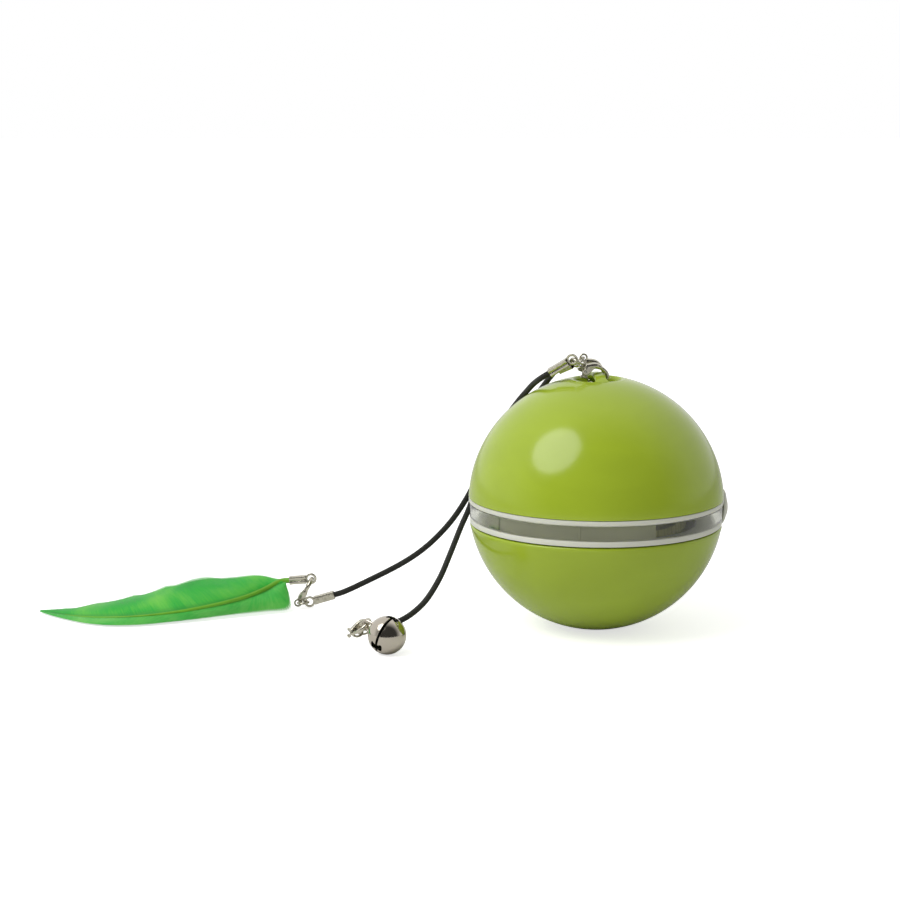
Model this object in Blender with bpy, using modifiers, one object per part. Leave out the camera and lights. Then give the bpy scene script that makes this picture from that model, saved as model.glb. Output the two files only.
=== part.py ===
"""A light-up cat ball with a feather line and a bell line, each a separate solid per real piece.

The ball stands on a small flat foot, and the origin is the centre of that foot. +X is to the
right, +Y to the back and +Z up. The two lines hook on a bar over the dish at the ball's top.
"""

import math

import bmesh
import bpy
from mathutils import Matrix, Vector

MM = 0.001
MERGE = 0.002 * MM
ROUTE_STEPS = 16

# Ball: two shells with a light ring between them
BALL_RADIUS = 32.5 * MM
SHELL_WALL = 1.8 * MM
FOOT_RADIUS = 4.5 * MM
BALL_HEIGHT = math.sqrt(BALL_RADIUS**2 - FOOT_RADIUS**2)
INNER_RADIUS = BALL_RADIUS - SHELL_WALL
SEAT_GAP = 0.3 * MM
STACK_GAP = 0.15 * MM
EDGE_ROUND = 0.5 * MM
UPPER_EDGE = 1.65 * MM
UPPER_RIM_HEIGHT = 1.15 * MM
BAND_HEIGHT = 3.6 * MM
LOWER_RIM_HEIGHT = 1.45 * MM
RIM_INSET = 0.35 * MM
RIM_WIDTH = 2.3 * MM
BAND_WALL = 1.4 * MM
BAND_INSET = 0.45 * MM
COLLAR_WALL = 1.2 * MM
COLLAR_REACH = 2.9 * MM
LIP_WIDTH = 0.7 * MM
LIP_HEIGHT = 1.0 * MM
LUG_COUNT = 3
LUG_WIDTH = 6.0 * MM
LUG_HEIGHT = 1.0 * MM
LUG_PROUD = 0.5 * MM
LUG_FIRST_ANGLE = math.radians(20)
TWIST_TO_NOTCH = math.radians(-30)
OVERRUN = 1.0 * MM
BALL_STEPS = 40
ARC_STEPS = 9

UPPER_RIM_TOP = UPPER_EDGE - STACK_GAP
UPPER_RIM_BASE = UPPER_RIM_TOP - UPPER_RIM_HEIGHT
BAND_TOP = UPPER_RIM_BASE - STACK_GAP
BAND_BASE = BAND_TOP - BAND_HEIGHT
LOWER_RIM_TOP = BAND_BASE - STACK_GAP
LOWER_RIM_BASE = LOWER_RIM_TOP - LOWER_RIM_HEIGHT
LOWER_EDGE = LOWER_RIM_BASE - SEAT_GAP
BAND_MIDDLE = (BAND_TOP + BAND_BASE) / 2

# Dish and lashing bar at the top
DISH_RADIUS = 6.0 * MM
DISH_DEPTH = 4.2 * MM
DISH_LIP = 0.5 * MM
DISH_PROFILE_SHARES = ((0.5, 0.0), (0.73, 0.14), (0.87, 0.4), (0.95, 0.69))
BAR_WIDTH = 2.6 * MM
BAR_THICKNESS = 1.6 * MM
BAR_CROWN = 1.0 * MM
BAR_ROUND = 0.45 * MM
BAR_ROOT = 1.0 * MM
BAR_ROOT_DROP = 0.25 * MM
BAR_TURN = math.radians(8)
BAR_STEPS = 8

# Diffuser sleeve behind the clear band
SLEEVE_WALL = 1.0 * MM
SLEEVE_GAP = 2.265 * MM
SLEEVE_HEIGHT = 8.0 * MM
SLEEVE_LEDGE = 2.2 * MM
LEDGE_HEIGHT = 1.0 * MM
WINDOW_FROM = math.radians(31)
WINDOW_TO = math.radians(150)
WINDOW_STEPS = 8

# Push button in the ring, with its switch
BUTTON_ANGLE = math.radians(95)
BUTTON_RADIUS = 3.1 * MM
BUTTON_PROUD = 1.4 * MM
BUTTON_TRAVEL = 0.6 * MM
BUTTON_FLANGE = 0.5 * MM
STEM_RADIUS = 1.2 * MM
STEM_CATCH_RADIUS = 1.9 * MM
STEM_CATCH_HEIGHT = 0.6 * MM
STEM_CATCH_GAP = 0.25 * MM
BUTTON_CLEARANCE = 0.35 * MM
STEM_CLEARANCE = 0.3 * MM
SWITCH_LENGTH = 4.0 * MM
SWITCH_WIDTH = 4.6 * MM
SWITCH_HEIGHT = 3.2 * MM
SWITCH_SETBACK = 0.8 * MM
PLUNGER_RADIUS = 0.9 * MM
PLUNGER_PROUD = 1.0 * MM
PLUNGER_DEPTH = 1.2 * MM
PLUNGER_CLEARANCE = 0.2 * MM
PLUNGER_PLAY = 0.1 * MM

# Carrier module in the lower shell
TRAY_HEIGHT_SHARE = 0.3724
TRAY_THICKNESS = 1.5 * MM
TRAY_EDGE_GAP = 0.5 * MM
SCREW_COUNT = 3
SCREW_CIRCLE_SHARE = 0.702
SCREW_FIRST_ANGLE = math.radians(97)
BOSS_RADIUS = 2.4 * MM
CENTRE_BOSS_RADIUS = 2.0 * MM
SCREW_HEAD_RADIUS = 1.9 * MM
SCREW_HEAD_HEIGHT = 1.2 * MM
SCREW_SHANK_RADIUS = 0.9 * MM
SCREW_TIP_GAP = 0.7 * MM
PILOT_GAP = 0.25 * MM
POST_COUNT = 3
POST_CIRCLE_SHARE = 0.738
POST_FIRST_ANGLE = math.radians(33)
POST_RADIUS = 1.9 * MM
BOARD_DROP = 4.6 * MM
BOARD_THICKNESS = 1.2 * MM
BOARD_EDGE_GAP = 2.3 * MM
BOARD_BORE_GAP = 0.9 * MM
BOARD_SCREW_HEAD_RADIUS = 1.5 * MM
BOARD_SCREW_HEAD_HEIGHT = 0.9 * MM
BOARD_SCREW_SHANK_RADIUS = 0.7 * MM
BOARD_SCREW_LENGTH = 4.0 * MM
BALLAST_BOSS_GAP = 0.05 * MM
BALLAST_GAP = 0.5 * MM
CHIP_SIZE = (5.0 * MM, 4.4 * MM, 1.5 * MM)
CHIP_CIRCLE_SHARE = 0.467
CHIP_ANGLE = math.radians(200)
SENSOR_RADIUS = 2.2 * MM
SENSOR_HEIGHT = 6.0 * MM
SENSOR_CIRCLE_SHARE = 0.467
SENSOR_ANGLE = math.radians(320)
LED_COUNT = 3
LED_RADIUS = 1.5 * MM
LED_FLANGE = 0.35 * MM
LED_HEIGHT = 4.6 * MM
LED_CIRCLE_SHARE = 0.303
LED_FIRST_ANGLE = math.radians(60)
BOARD_PART_GAP = 0.2 * MM

# Cells, stacked upright in a tube
CELL_RADIUS = 5.8 * MM
CELL_HEIGHT = 5.4 * MM
CELL_COUNT = 3
CELL_STEP_SHARE = 0.12
CELL_RIM_SHARE = 0.8
CELL_GAP = 0.2 * MM
CONTACT_THICKNESS = 0.4 * MM
CONTACT_RISE = 0.7 * MM
TUBE_CLEARANCE = 0.3 * MM
TUBE_WALL = 1.4 * MM
TUBE_FLOOR = 1.2 * MM
SEAT_RING_HEIGHT = 1.8 * MM
SEAT_RING_WALL = 1.0 * MM
DOOR_THICKNESS = 1.6 * MM
DOOR_EAR_OFFSET = 1.7 * MM
DOOR_EAR_RADIUS = 2.2 * MM
DOOR_EAR_HEIGHT = 3.6 * MM
DOOR_EAR_ANGLE = math.radians(120)
DOOR_SCREW_HEAD_RADIUS = 1.6 * MM
DOOR_SCREW_HEAD_HEIGHT = 0.8 * MM
DOOR_SCREW_SHANK_RADIUS = 0.7 * MM
DOOR_SCREW_LENGTH = 4.0 * MM

# Lobster clasp, measured from the middle of its hook's round end
CLASP_OUTER = 2.55 * MM
CLASP_INNER = 1.8 * MM
CLASP_REACH = 5.4 * MM
CLASP_THICKNESS = 1.7 * MM
HOOK_THICKNESS = 1.0 * MM
CLASP_ROUND = 0.2 * MM
CLASP_TIP = 0.9 * MM
CLASP_MOUTH = 2.2 * MM
CLASP_THROAT = 2.7 * MM
CLASP_NECK = 4.55 * MM
NECK_HALF = 0.5 * MM
HOOK_STEPS = 8
EYE_RADIUS = 0.85 * MM
EYE_WIRE = 0.25 * MM
LEVER_SLOT = 0.9 * MM
LEVER_THICKNESS = 0.4 * MM
LEVER_PIVOT = Vector((-3.55 * MM, 1.0 * MM, 0))
LEVER_BOSS = 0.6 * MM
LEVER_WIDTH = 0.55 * MM
LEVER_TOP = 2.4 * MM
LEVER_END_GAP = 0.35 * MM
LEVER_TAB = 2.9 * MM
SLOT_FLOOR = 0.15 * MM
PIN_RADIUS = 0.22 * MM
PIN_CLEARANCE = 0.1 * MM
PIN_SHORT = 0.1 * MM

# Jump ring and folded crimp
RING_RADIUS = 1.4 * MM
RING_WIRE = 0.3 * MM
RING_IN_LOOP = 0.3 * MM
LOOP_RADIUS = 1.2 * MM
LOOP_WIRE = 0.3 * MM
CRIMP_START = 1.3 * MM
CRIMP_LENGTH = 5.5 * MM
CRIMP_WIDTH = 2.3 * MM
CRIMP_HEIGHT = 2.3 * MM
CRIMP_ROUND = 0.3 * MM
CRIMP_BORE_CLEARANCE = 0.15 * MM
CRIMP_FLOOR = 1.0 * MM
CORD_INSET_GAP = 0.3 * MM
WIRE_STEPS = 14
WIRE_SIDES = 6

# How the two lines hang from the bar and end on the floor
HOOK_SPACING = 4.4 * MM
BELL_HOOK_TILT = math.radians(38)
BELL_HOOK_RING_AIM = Vector((-0.857, -0.12, 0.5))
BELL_HOOK_LINK_TURN = math.radians(180)
BELL_TOP_CRIMP_AIM = Vector((-0.8, 0.28, -0.53))
FEATHER_HOOK_TILT = math.radians(55)
FEATHER_HOOK_RING_AIM = Vector((-0.81, -0.114, -0.57))
FEATHER_HOOK_LINK_TURN = math.radians(130)
FEATHER_TOP_CRIMP_AIM = Vector((-0.5, 0.79, -0.35))
FEATHER_EYE = Vector((-77.4 * MM, 17.3 * MM, 1.6 * MM))
FEATHER_CLASP_AIM = Vector((0.5, 0, 0.866))
FEATHER_CLASP_SIDE = Vector((0, 1, 0))
FEATHER_RING_AIM = Vector((1, 0, 0.08))
FEATHER_CRIMP_AIM = Vector((-1, 0, -0.08))
FEATHER_END_CRIMP_AIM = Vector((0.96, 0, 0.28))
BELL_CLASP_AIM = Vector((0.54, -0.75, 0.37))
BELL_CLASP_SIDE = Vector((-0.545, -0.653, -0.528))
BELL_EYE_AXIS = Vector((0.194, 0.543, 0.817))
BELL_RING_AIM = Vector((0.97, 0, -0.23))
BELL_END_CRIMP_AIM = Vector((0.94, -0.12, 0.32))
BELL_HANG = 6.05 * MM

# Cords
CORD_RADIUS = 0.75 * MM
CORD_SPACING = 3.6 * MM
CORD_STRAIGHT = 2.2 * MM
FEATHER_CORD_ROUTE = (
    (-11.2 * MM, 13.0 * MM, 62.7 * MM),
    (-13.9 * MM, 17.3 * MM, 58.2 * MM),
    (-18.7 * MM, 20.6 * MM, 51.4 * MM),
    (-24.8 * MM, 22.2 * MM, 43.1 * MM),
    (-29.6 * MM, 21.3 * MM, 35.2 * MM),
    (-32.8 * MM, 20.0 * MM, 29.3 * MM),
    (-36.3 * MM, 19.9 * MM, 23.9 * MM),
    (-40.7 * MM, 21.0 * MM, 18.6 * MM),
    (-45.2 * MM, 21.6 * MM, 14.5 * MM),
    (-50.5 * MM, 21.7 * MM, 11.0 * MM),
    (-57.9 * MM, 20.5 * MM, 7.4 * MM),
)
BELL_CORD_ROUTE = (
    (-15.9 * MM, 4.6 * MM, 62.0 * MM),
    (-17.5 * MM, 9.1 * MM, 59.4 * MM),
    (-19.5 * MM, 13.0 * MM, 56.3 * MM),
    (-22.6 * MM, 16.0 * MM, 51.3 * MM),
    (-26.6 * MM, 17.5 * MM, 43.0 * MM),
    (-29.9 * MM, 16.0 * MM, 34.8 * MM),
    (-32.2 * MM, 11.4 * MM, 28.4 * MM),
    (-34.3 * MM, 6.8 * MM, 24.5 * MM),
    (-37.1 * MM, -0.8 * MM, 19.0 * MM),
    (-39.8 * MM, -8.2 * MM, 14.2 * MM),
    (-43.2 * MM, -15.4 * MM, 10.2 * MM),
    (-45.9 * MM, -19.6 * MM, 8.4 * MM),
    (-48.2 * MM, -21.6 * MM, 7.2 * MM),
)

# Bell
BELL_RADIUS = 4.75 * MM
BELL_WALL = 0.45 * MM
BELL_CENTRE = Vector((-52.6 * MM, -29.3 * MM, 4.75 * MM))
BELL_AXIS = Vector((-0.82, 0.46, 0.33)).normalized()
BELL_SEAM = 0.4 * MM
BELL_STEPS = 20
BELL_ARC_STEPS = 6
SPIGOT_HEIGHT = 0.9 * MM
SPIGOT_WALL = 0.35 * MM
SPIGOT_STEP = 0.5 * MM
SPIGOT_GAP = 0.2 * MM
SOUND_HOLE_RADIUS = 0.95 * MM
SOUND_HOLE_AIM = Vector((-0.567, -0.697, -0.438)).normalized()
SOUND_HOLE_COUNT = 3
BELL_LOOP_RADIUS = 1.6 * MM
BELL_LOOP_WIRE = 0.38 * MM
BELL_LOOP_RISE = 2.35 * MM
BELL_LOOP_INSIDE = 1.0 * MM
BELL_LEG_CLEARANCE = 0.18 * MM
BELL_LOOP_STEPS = 8
PELLET_RADIUS = 1.4 * MM
PELLET_GAP = 0.3 * MM

# Feather
FEATHER_CRIMP_LENGTH = 4.4 * MM
QUILL_RADIUS = 0.8 * MM
QUILL_TIP_RADIUS = 0.4 * MM
VANE_THICKNESS = 0.5 * MM
VANE_STEPS = 18
FEATHER_ROUTE = (
    (-86.3 * MM, 13.4 * MM, 6.0 * MM),
    (-92.1 * MM, 8.5 * MM, 4.8 * MM),
    (-101.7 * MM, 4.1 * MM, 3.5 * MM),
    (-108.9 * MM, 1.7 * MM, 2.8 * MM),
    (-116.3 * MM, 0.2 * MM, 2.3 * MM),
    (-123.9 * MM, 0.3 * MM, 1.9 * MM),
    (-130.8 * MM, 2.2 * MM, 1.5 * MM),
    (-137.2 * MM, 6.2 * MM, 1.1 * MM),
)
FAR_EDGE = (
    (-80.6 * MM, 17.5 * MM, 8.3 * MM),
    (-86.5 * MM, 18.0 * MM, 8.9 * MM),
    (-95.0 * MM, 16.0 * MM, 9.0 * MM),
    (-103.3 * MM, 14.0 * MM, 8.8 * MM),
    (-109.6 * MM, 13.7 * MM, 7.5 * MM),
    (-115.8 * MM, 13.3 * MM, 5.5 * MM),
    (-122.5 * MM, 12.8 * MM, 4.0 * MM),
    (-130.1 * MM, 12.0 * MM, 2.6 * MM),
    (-137.0 * MM, 11.6 * MM, 1.5 * MM),
    (-144.8 * MM, 12.9 * MM, 0.7 * MM),
)
NEAR_EDGE = (
    (-80.6 * MM, 16.4 * MM, 6.4 * MM),
    (-82.3 * MM, 14.9 * MM, 3.5 * MM),
    (-84.9 * MM, 12.5 * MM, 1.1 * MM),
    (-94.5 * MM, 7.6 * MM, 1.0 * MM),
    (-103.4 * MM, 3.6 * MM, 0.8 * MM),
    (-109.6 * MM, 1.0 * MM, 0.7 * MM),
    (-116.0 * MM, -1.6 * MM, 0.6 * MM),
    (-123.3 * MM, -3.0 * MM, 0.6 * MM),
    (-130.1 * MM, -0.9 * MM, 0.5 * MM),
    (-137.1 * MM, 4.2 * MM, 0.5 * MM),
    (-141.0 * MM, 7.8 * MM, 0.5 * MM),
    (-144.8 * MM, 11.9 * MM, 0.5 * MM),
)
VANE_START = (-80.6 * MM, 16.9 * MM, 7.6 * MM)
VANE_TIP = (-144.8 * MM, 12.4 * MM, 0.6 * MM)

BALL_CENTRE = Vector((0, 0, BALL_HEIGHT))
UP = Vector((0, 0, 1))


def new_collection(name, shown):
    collection = bpy.data.collections.new(name)
    bpy.context.scene.collection.children.link(collection)
    collection.hide_render = not shown
    return collection


def clear_scene():
    for old in list(bpy.data.objects):
        bpy.data.objects.remove(old, do_unlink=True)


clear_scene()
PARTS = new_collection("led_cat_ball", True)
CUTTERS = new_collection("cutters", False)


def make_material(name, colour, roughness, metallic=0.0, alpha=1.0):
    material = bpy.data.materials.new(name)
    material.use_nodes = True
    shader = material.node_tree.nodes["Principled BSDF"]
    shader.inputs["Base Color"].default_value = (*colour, 1.0)
    shader.inputs["Roughness"].default_value = roughness
    shader.inputs["Metallic"].default_value = metallic
    shader.inputs["Alpha"].default_value = alpha
    return material


LIME = make_material("lime_plastic", (0.36, 0.47, 0.045), 0.25)
WHITE = make_material("white_plastic", (0.8, 0.8, 0.77), 0.4)
CLEAR = make_material("clear_plastic", (0.62, 0.64, 0.56), 0.1, 0.0, 0.4)
FROSTED = make_material("frosted_plastic", (0.5, 0.51, 0.46), 0.5, 0.0, 0.8)
BLACK = make_material("black_plastic", (0.03, 0.03, 0.03), 0.45)
BOARD = make_material("board_green", (0.02, 0.16, 0.06), 0.4)
STEEL = make_material("steel", (0.55, 0.55, 0.53), 0.3, 1.0)
NICKEL = make_material("polished_nickel", (0.66, 0.63, 0.58), 0.14, 1.0)
SILVER = make_material("silver_plate", (0.72, 0.71, 0.68), 0.22, 1.0)
WAXED = make_material("waxed_cord", (0.012, 0.013, 0.01), 0.5)
VANE = make_material("green_feather", (0.03, 0.5, 0.05), 0.7)
LED_LENS = make_material("led_lens", (0.75, 0.75, 0.72), 0.2, 0.0, 0.6)


def add_node(name, mesh, material, matrix=None, collection=PARTS):
    mesh.materials.clear()
    mesh.materials.append(material)
    mesh.shade_smooth()
    mesh.set_sharp_from_angle(angle=math.radians(35))
    obj = bpy.data.objects.new(name, mesh)
    collection.objects.link(obj)
    if matrix is not None:
        obj.matrix_world = matrix
    return obj


def add_cutter(name, mesh, matrix=None):
    obj = add_node(name, mesh, BLACK, matrix, CUTTERS)
    obj.hide_render = True
    obj.display_type = "WIRE"
    return obj


def mesh_from(name, build):
    """A mesh filled by build(bm), with its normals pointing out."""
    bm = bmesh.new()
    build(bm)
    bmesh.ops.recalc_face_normals(bm, faces=bm.faces)
    mesh = bpy.data.meshes.new(name)
    bm.to_mesh(mesh)
    bm.free()
    return mesh


def evaluated_mesh(obj, name):
    """The object's mesh with its modifiers applied, in its own space."""
    bpy.context.view_layer.update()
    graph = bpy.context.evaluated_depsgraph_get()
    mesh = bpy.data.meshes.new_from_object(obj.evaluated_get(graph))
    mesh.name = name
    return mesh


def box_mesh(name, low, high):
    size = [high[i] - low[i] for i in range(3)]
    middle = [(high[i] + low[i]) / 2 for i in range(3)]
    matrix = Matrix.Translation(middle) @ Matrix.Diagonal((*size, 1))
    return mesh_from(name, lambda bm: bmesh.ops.create_cube(bm, size=1, matrix=matrix))


def turned_mesh(name, profile, steps):
    """A solid of revolution about Z from (radius, height) points, on the outside from the top down.

    A profile that starts and ends on the axis closes there; any other is joined end to start.
    """
    scratch = bpy.data.meshes.new(name)
    points = [(radius, 0, height) for radius, height in profile]
    edges = [(i, i + 1) for i in range(len(points) - 1)]
    if profile[0][0] > 0:
        edges.append((len(points) - 1, 0))
    scratch.from_pydata(points, edges, [])
    obj = bpy.data.objects.new(name, scratch)
    bpy.context.scene.collection.objects.link(obj)
    screw = obj.modifiers.new("Turn", "SCREW")
    screw.steps = screw.render_steps = steps
    screw.use_merge_vertices = True
    screw.merge_threshold = MERGE
    mesh = evaluated_mesh(obj, name)
    bpy.data.objects.remove(obj, do_unlink=True)
    bpy.data.meshes.remove(scratch)
    bm = bmesh.new()
    bm.from_mesh(mesh)
    bmesh.ops.remove_doubles(bm, verts=bm.verts, dist=MERGE)
    bmesh.ops.dissolve_degenerate(bm, edges=bm.edges, dist=MERGE)
    bmesh.ops.recalc_face_normals(bm, faces=bm.faces)
    bm.to_mesh(mesh)
    bm.free()
    return mesh


def cylinder_mesh(name, radius, base, top, steps=16):
    return turned_mesh(name, [(0, top), (radius, top), (radius, base), (0, base)], steps)


def torus_mesh(name, radius, wire, steps=WIRE_STEPS, sides=WIRE_SIDES):
    """A ring about Z."""
    profile = []
    for i in range(sides):
        angle = -math.tau * i / sides
        profile.append((radius + wire * math.cos(angle), wire * math.sin(angle)))
    return turned_mesh(name, profile, steps)


def prism_mesh(name, outline, low, high):
    """A flat outline of (x, y) points, extruded from low to high in Z."""

    def build(bm):
        base = bm.faces.new([bm.verts.new((x, y, low)) for x, y in outline])
        made = bmesh.ops.extrude_face_region(bm, geom=[base])
        lifted = [item for item in made["geom"] if isinstance(item, bmesh.types.BMVert)]
        bmesh.ops.translate(bm, verts=lifted, vec=(0, 0, high - low))

    return mesh_from(name, build)


def boolean(obj, tool, operation="DIFFERENCE"):
    modifier = obj.modifiers.new(operation.title(), "BOOLEAN")
    modifier.operation = operation
    modifier.object = tool
    return modifier


def bevel(obj, width, segments=2):
    modifier = obj.modifiers.new("Round", "BEVEL")
    modifier.width = width
    modifier.segments = segments
    modifier.limit_method = "ANGLE"
    modifier.angle_limit = math.radians(40)
    return modifier


def arc(radius, start, end, steps):
    """Points (across, height) on an arc about the origin, at angles from the +height axis."""
    angles = [start + (end - start) * i / steps for i in range(steps + 1)]
    return [(radius * math.sin(a), radius * math.cos(a)) for a in angles]


def on_sphere(radius, height):
    return math.sqrt(radius**2 - height**2)


def frame(origin, along, normal):
    """A matrix at origin with X along the first direction and Z as near as can be to the second."""
    x_axis = Vector(along).normalized()
    z_axis = Vector(normal)
    z_axis = (z_axis - z_axis.dot(x_axis) * x_axis).normalized()
    y_axis = z_axis.cross(x_axis)
    return Matrix.Translation(origin) @ Matrix((x_axis, y_axis, z_axis)).transposed().to_4x4()


def frame_up(origin, normal, along):
    """A matrix at origin with Z along normal and X as near as can be to along."""
    z_axis = Vector(normal).normalized()
    y_axis = z_axis.cross(along).normalized()
    x_axis = y_axis.cross(z_axis)
    return Matrix.Translation(origin) @ Matrix((x_axis, y_axis, z_axis)).transposed().to_4x4()


def at_ball():
    return Matrix.Translation(BALL_CENTRE)


def on_circle(radius, angle, height):
    """A point at an angle that runs from the front of the ball to its right."""
    return Vector((radius * math.sin(angle), -radius * math.cos(angle), height))


def smooth_route(points, spacing=None, count=None):
    """Points on a smooth curve through the route, about spacing apart or count steps in all."""
    knots = [Vector(p) for p in points]
    padded = [2 * knots[0] - knots[1], *knots, 2 * knots[-1] - knots[-2]]
    fine = [knots[0]]
    for a, b, c, d in zip(padded, padded[1:], padded[2:], padded[3:]):
        ta = 0.0
        tb = ta + math.sqrt((b - a).length)
        tc = tb + math.sqrt((c - b).length)
        td = tc + math.sqrt((d - c).length)
        for step in range(1, ROUTE_STEPS + 1):
            t = tb + (tc - tb) * step / ROUTE_STEPS
            ab = a.lerp(b, (t - ta) / (tb - ta))
            bc = b.lerp(c, (t - tb) / (tc - tb))
            cd = c.lerp(d, (t - tc) / (td - tc))
            abc = ab.lerp(bc, (t - ta) / (tc - ta))
            bcd = bc.lerp(cd, (t - tb) / (td - tb))
            fine.append(abc.lerp(bcd, (t - tb) / (tc - tb)))
    lengths = [0.0]
    for a, b in zip(fine, fine[1:]):
        lengths.append(lengths[-1] + (b - a).length)
    count = count or max(2, round(lengths[-1] / spacing))
    spaced = []
    index = 0
    for i in range(count + 1):
        want = lengths[-1] * i / count
        while index < len(lengths) - 2 and lengths[index + 1] < want:
            index += 1
        span = lengths[index + 1] - lengths[index]
        spaced.append(fine[index].lerp(fine[index + 1], (want - lengths[index]) / span))
    return spaced


def tube_curve(name, points, radius, radii_shares=None, resolution=2):
    data = bpy.data.curves.new(name, "CURVE")
    data.dimensions = "3D"
    data.bevel_depth = radius
    data.bevel_resolution = resolution
    data.use_fill_caps = True
    spline = data.splines.new("POLY")
    spline.points.add(len(points) - 1)
    for i, point in enumerate(points):
        spline.points[i].co = (*point, 1)
        if radii_shares is not None:
            spline.points[i].radius = radii_shares[i]
    return bpy.data.objects.new(name, data)


def tube_mesh(name, points, radius, radii_shares=None, resolution=2):
    """A welded tube mesh along the points, in their own space."""
    curve = tube_curve(name, points, radius, radii_shares, resolution)
    bpy.context.scene.collection.objects.link(curve)
    mesh = evaluated_mesh(curve, name)
    bpy.data.objects.remove(curve, do_unlink=True)
    bm = bmesh.new()
    bm.from_mesh(mesh)
    bmesh.ops.remove_doubles(bm, verts=bm.verts, dist=MERGE)
    bmesh.ops.recalc_face_normals(bm, faces=bm.faces)
    bm.to_mesh(mesh)
    bm.free()
    return mesh


# Ball shells and the ring between them


def bar_middle(along=0.0):
    """A point on the lashing bar's own centre line, along from its middle."""
    height = BALL_RADIUS + BAR_CROWN - BAR_THICKNESS / 2 - bar_fall() * along**2
    return BALL_CENTRE + bar_axis() * along + UP * height


def bar_axis():
    return Vector((-math.sin(BAR_TURN), math.cos(BAR_TURN), 0))


def bar_reach():
    return DISH_RADIUS + BAR_ROOT


def bar_fall():
    """How fast the bar's top falls from its crown to its roots in the shell."""
    root = on_sphere(BALL_RADIUS, bar_reach()) - BAR_ROOT_DROP
    return (BALL_RADIUS + BAR_CROWN - root) / bar_reach() ** 2


def lashing_bar():
    """The arched strap over the dish, as a tool to be joined to the shell."""
    stations = [bar_reach() * (2 * i / BAR_STEPS - 1) for i in range(BAR_STEPS + 1)]
    top = [(s, BALL_RADIUS + BAR_CROWN - bar_fall() * s**2) for s in stations]
    under = [(s, z - BAR_THICKNESS) for s, z in reversed(top)]
    mesh = prism_mesh("lashing_bar", top + under, -BAR_WIDTH / 2, BAR_WIDTH / 2)
    matrix = Matrix((bar_axis(), UP, bar_axis().cross(UP))).transposed().to_4x4()
    tool = add_cutter("lashing_bar_tool", mesh, at_ball() @ matrix)
    bevel(tool, BAR_ROUND)
    return tool


def upper_shell():
    floor = BALL_RADIUS - DISH_DEPTH
    lip = DISH_RADIUS + DISH_LIP
    profile = [(0, floor)]
    for across, rise in DISH_PROFILE_SHARES:
        profile.append((DISH_RADIUS * across, floor + DISH_DEPTH * rise))
    start = math.asin(lip / BALL_RADIUS)
    edge = math.acos((UPPER_EDGE + EDGE_ROUND) / BALL_RADIUS)
    profile.append((DISH_RADIUS, on_sphere(BALL_RADIUS, lip) - DISH_LIP / 4))
    profile += arc(BALL_RADIUS, start, edge, ARC_STEPS)
    rim = on_sphere(BALL_RADIUS, UPPER_EDGE)
    profile.append((rim - EDGE_ROUND * 0.3, UPPER_EDGE + EDGE_ROUND * 0.3))
    profile.append((rim - EDGE_ROUND, UPPER_EDGE))
    lip_top = UPPER_EDGE + LIP_HEIGHT
    wall = on_sphere(INNER_RADIUS, lip_top)
    profile.append((wall - LIP_WIDTH, UPPER_EDGE))
    profile.append((wall - LIP_WIDTH, lip_top))
    under_lip = math.asin((lip + SHELL_WALL) / INNER_RADIUS)
    profile += arc(INNER_RADIUS, math.acos(lip_top / INNER_RADIUS), under_lip, ARC_STEPS)
    for across, rise in reversed(DISH_PROFILE_SHARES):
        under = (DISH_RADIUS * across + SHELL_WALL * rise, floor + DISH_DEPTH * rise - SHELL_WALL)
        profile.append(under)
    profile.append((0, floor - SHELL_WALL))
    shell = add_node("upper_shell", turned_mesh("upper_shell", profile, BALL_STEPS), LIME, at_ball())
    boolean(shell, lashing_bar(), "UNION")
    for i in range(LUG_COUNT):
        angle = LUG_FIRST_ANGLE + math.tau * i / LUG_COUNT + TWIST_TO_NOTCH
        half = LUG_WIDTH / 2 + SEAT_GAP
        low = (-half, -(collar_radius() + LUG_PROUD + STACK_GAP), UPPER_EDGE - OVERRUN)
        high = (half, -(wall - LIP_WIDTH - OVERRUN), lip_top + STACK_GAP)
        notch = box_mesh(f"lip_notch_{i + 1}", low, high)
        turn = at_ball() @ Matrix.Rotation(angle, 4, "Z")
        boolean(shell, add_cutter(f"lip_notch_{i + 1}", notch, turn))


def collar_radius():
    """Outside of the bayonet collar that stands inside the upper shell's lip."""
    return on_sphere(INNER_RADIUS, UPPER_EDGE + LIP_HEIGHT) - LIP_WIDTH - SEAT_GAP


def rim_radius(height):
    return on_sphere(BALL_RADIUS, height) - RIM_INSET


def button_pocket():
    """The round pocket across both rims in which the button's dome travels."""
    mesh = cylinder_mesh(
        "button_pocket",
        BUTTON_RADIUS + BUTTON_CLEARANCE,
        pocket_floor(),
        BALL_RADIUS + OVERRUN,
        20,
    )
    return add_cutter("button_pocket", mesh, button_frame())


def pocket_floor():
    """Distance of the pocket's bottom from the ball's axis."""
    return button_back() - BUTTON_TRAVEL - STACK_GAP


def button_back():
    return BALL_RADIUS + BUTTON_PROUD - BUTTON_FLANGE - dome_height()


def dome_height():
    return BUTTON_PROUD * 0.75


def button_frame():
    """The button's own frame: Z points out of the ball along the button's axis."""
    out = on_circle(1, BUTTON_ANGLE, 0)
    return frame(BALL_CENTRE + UP * BAND_MIDDLE, UP, out)


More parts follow.
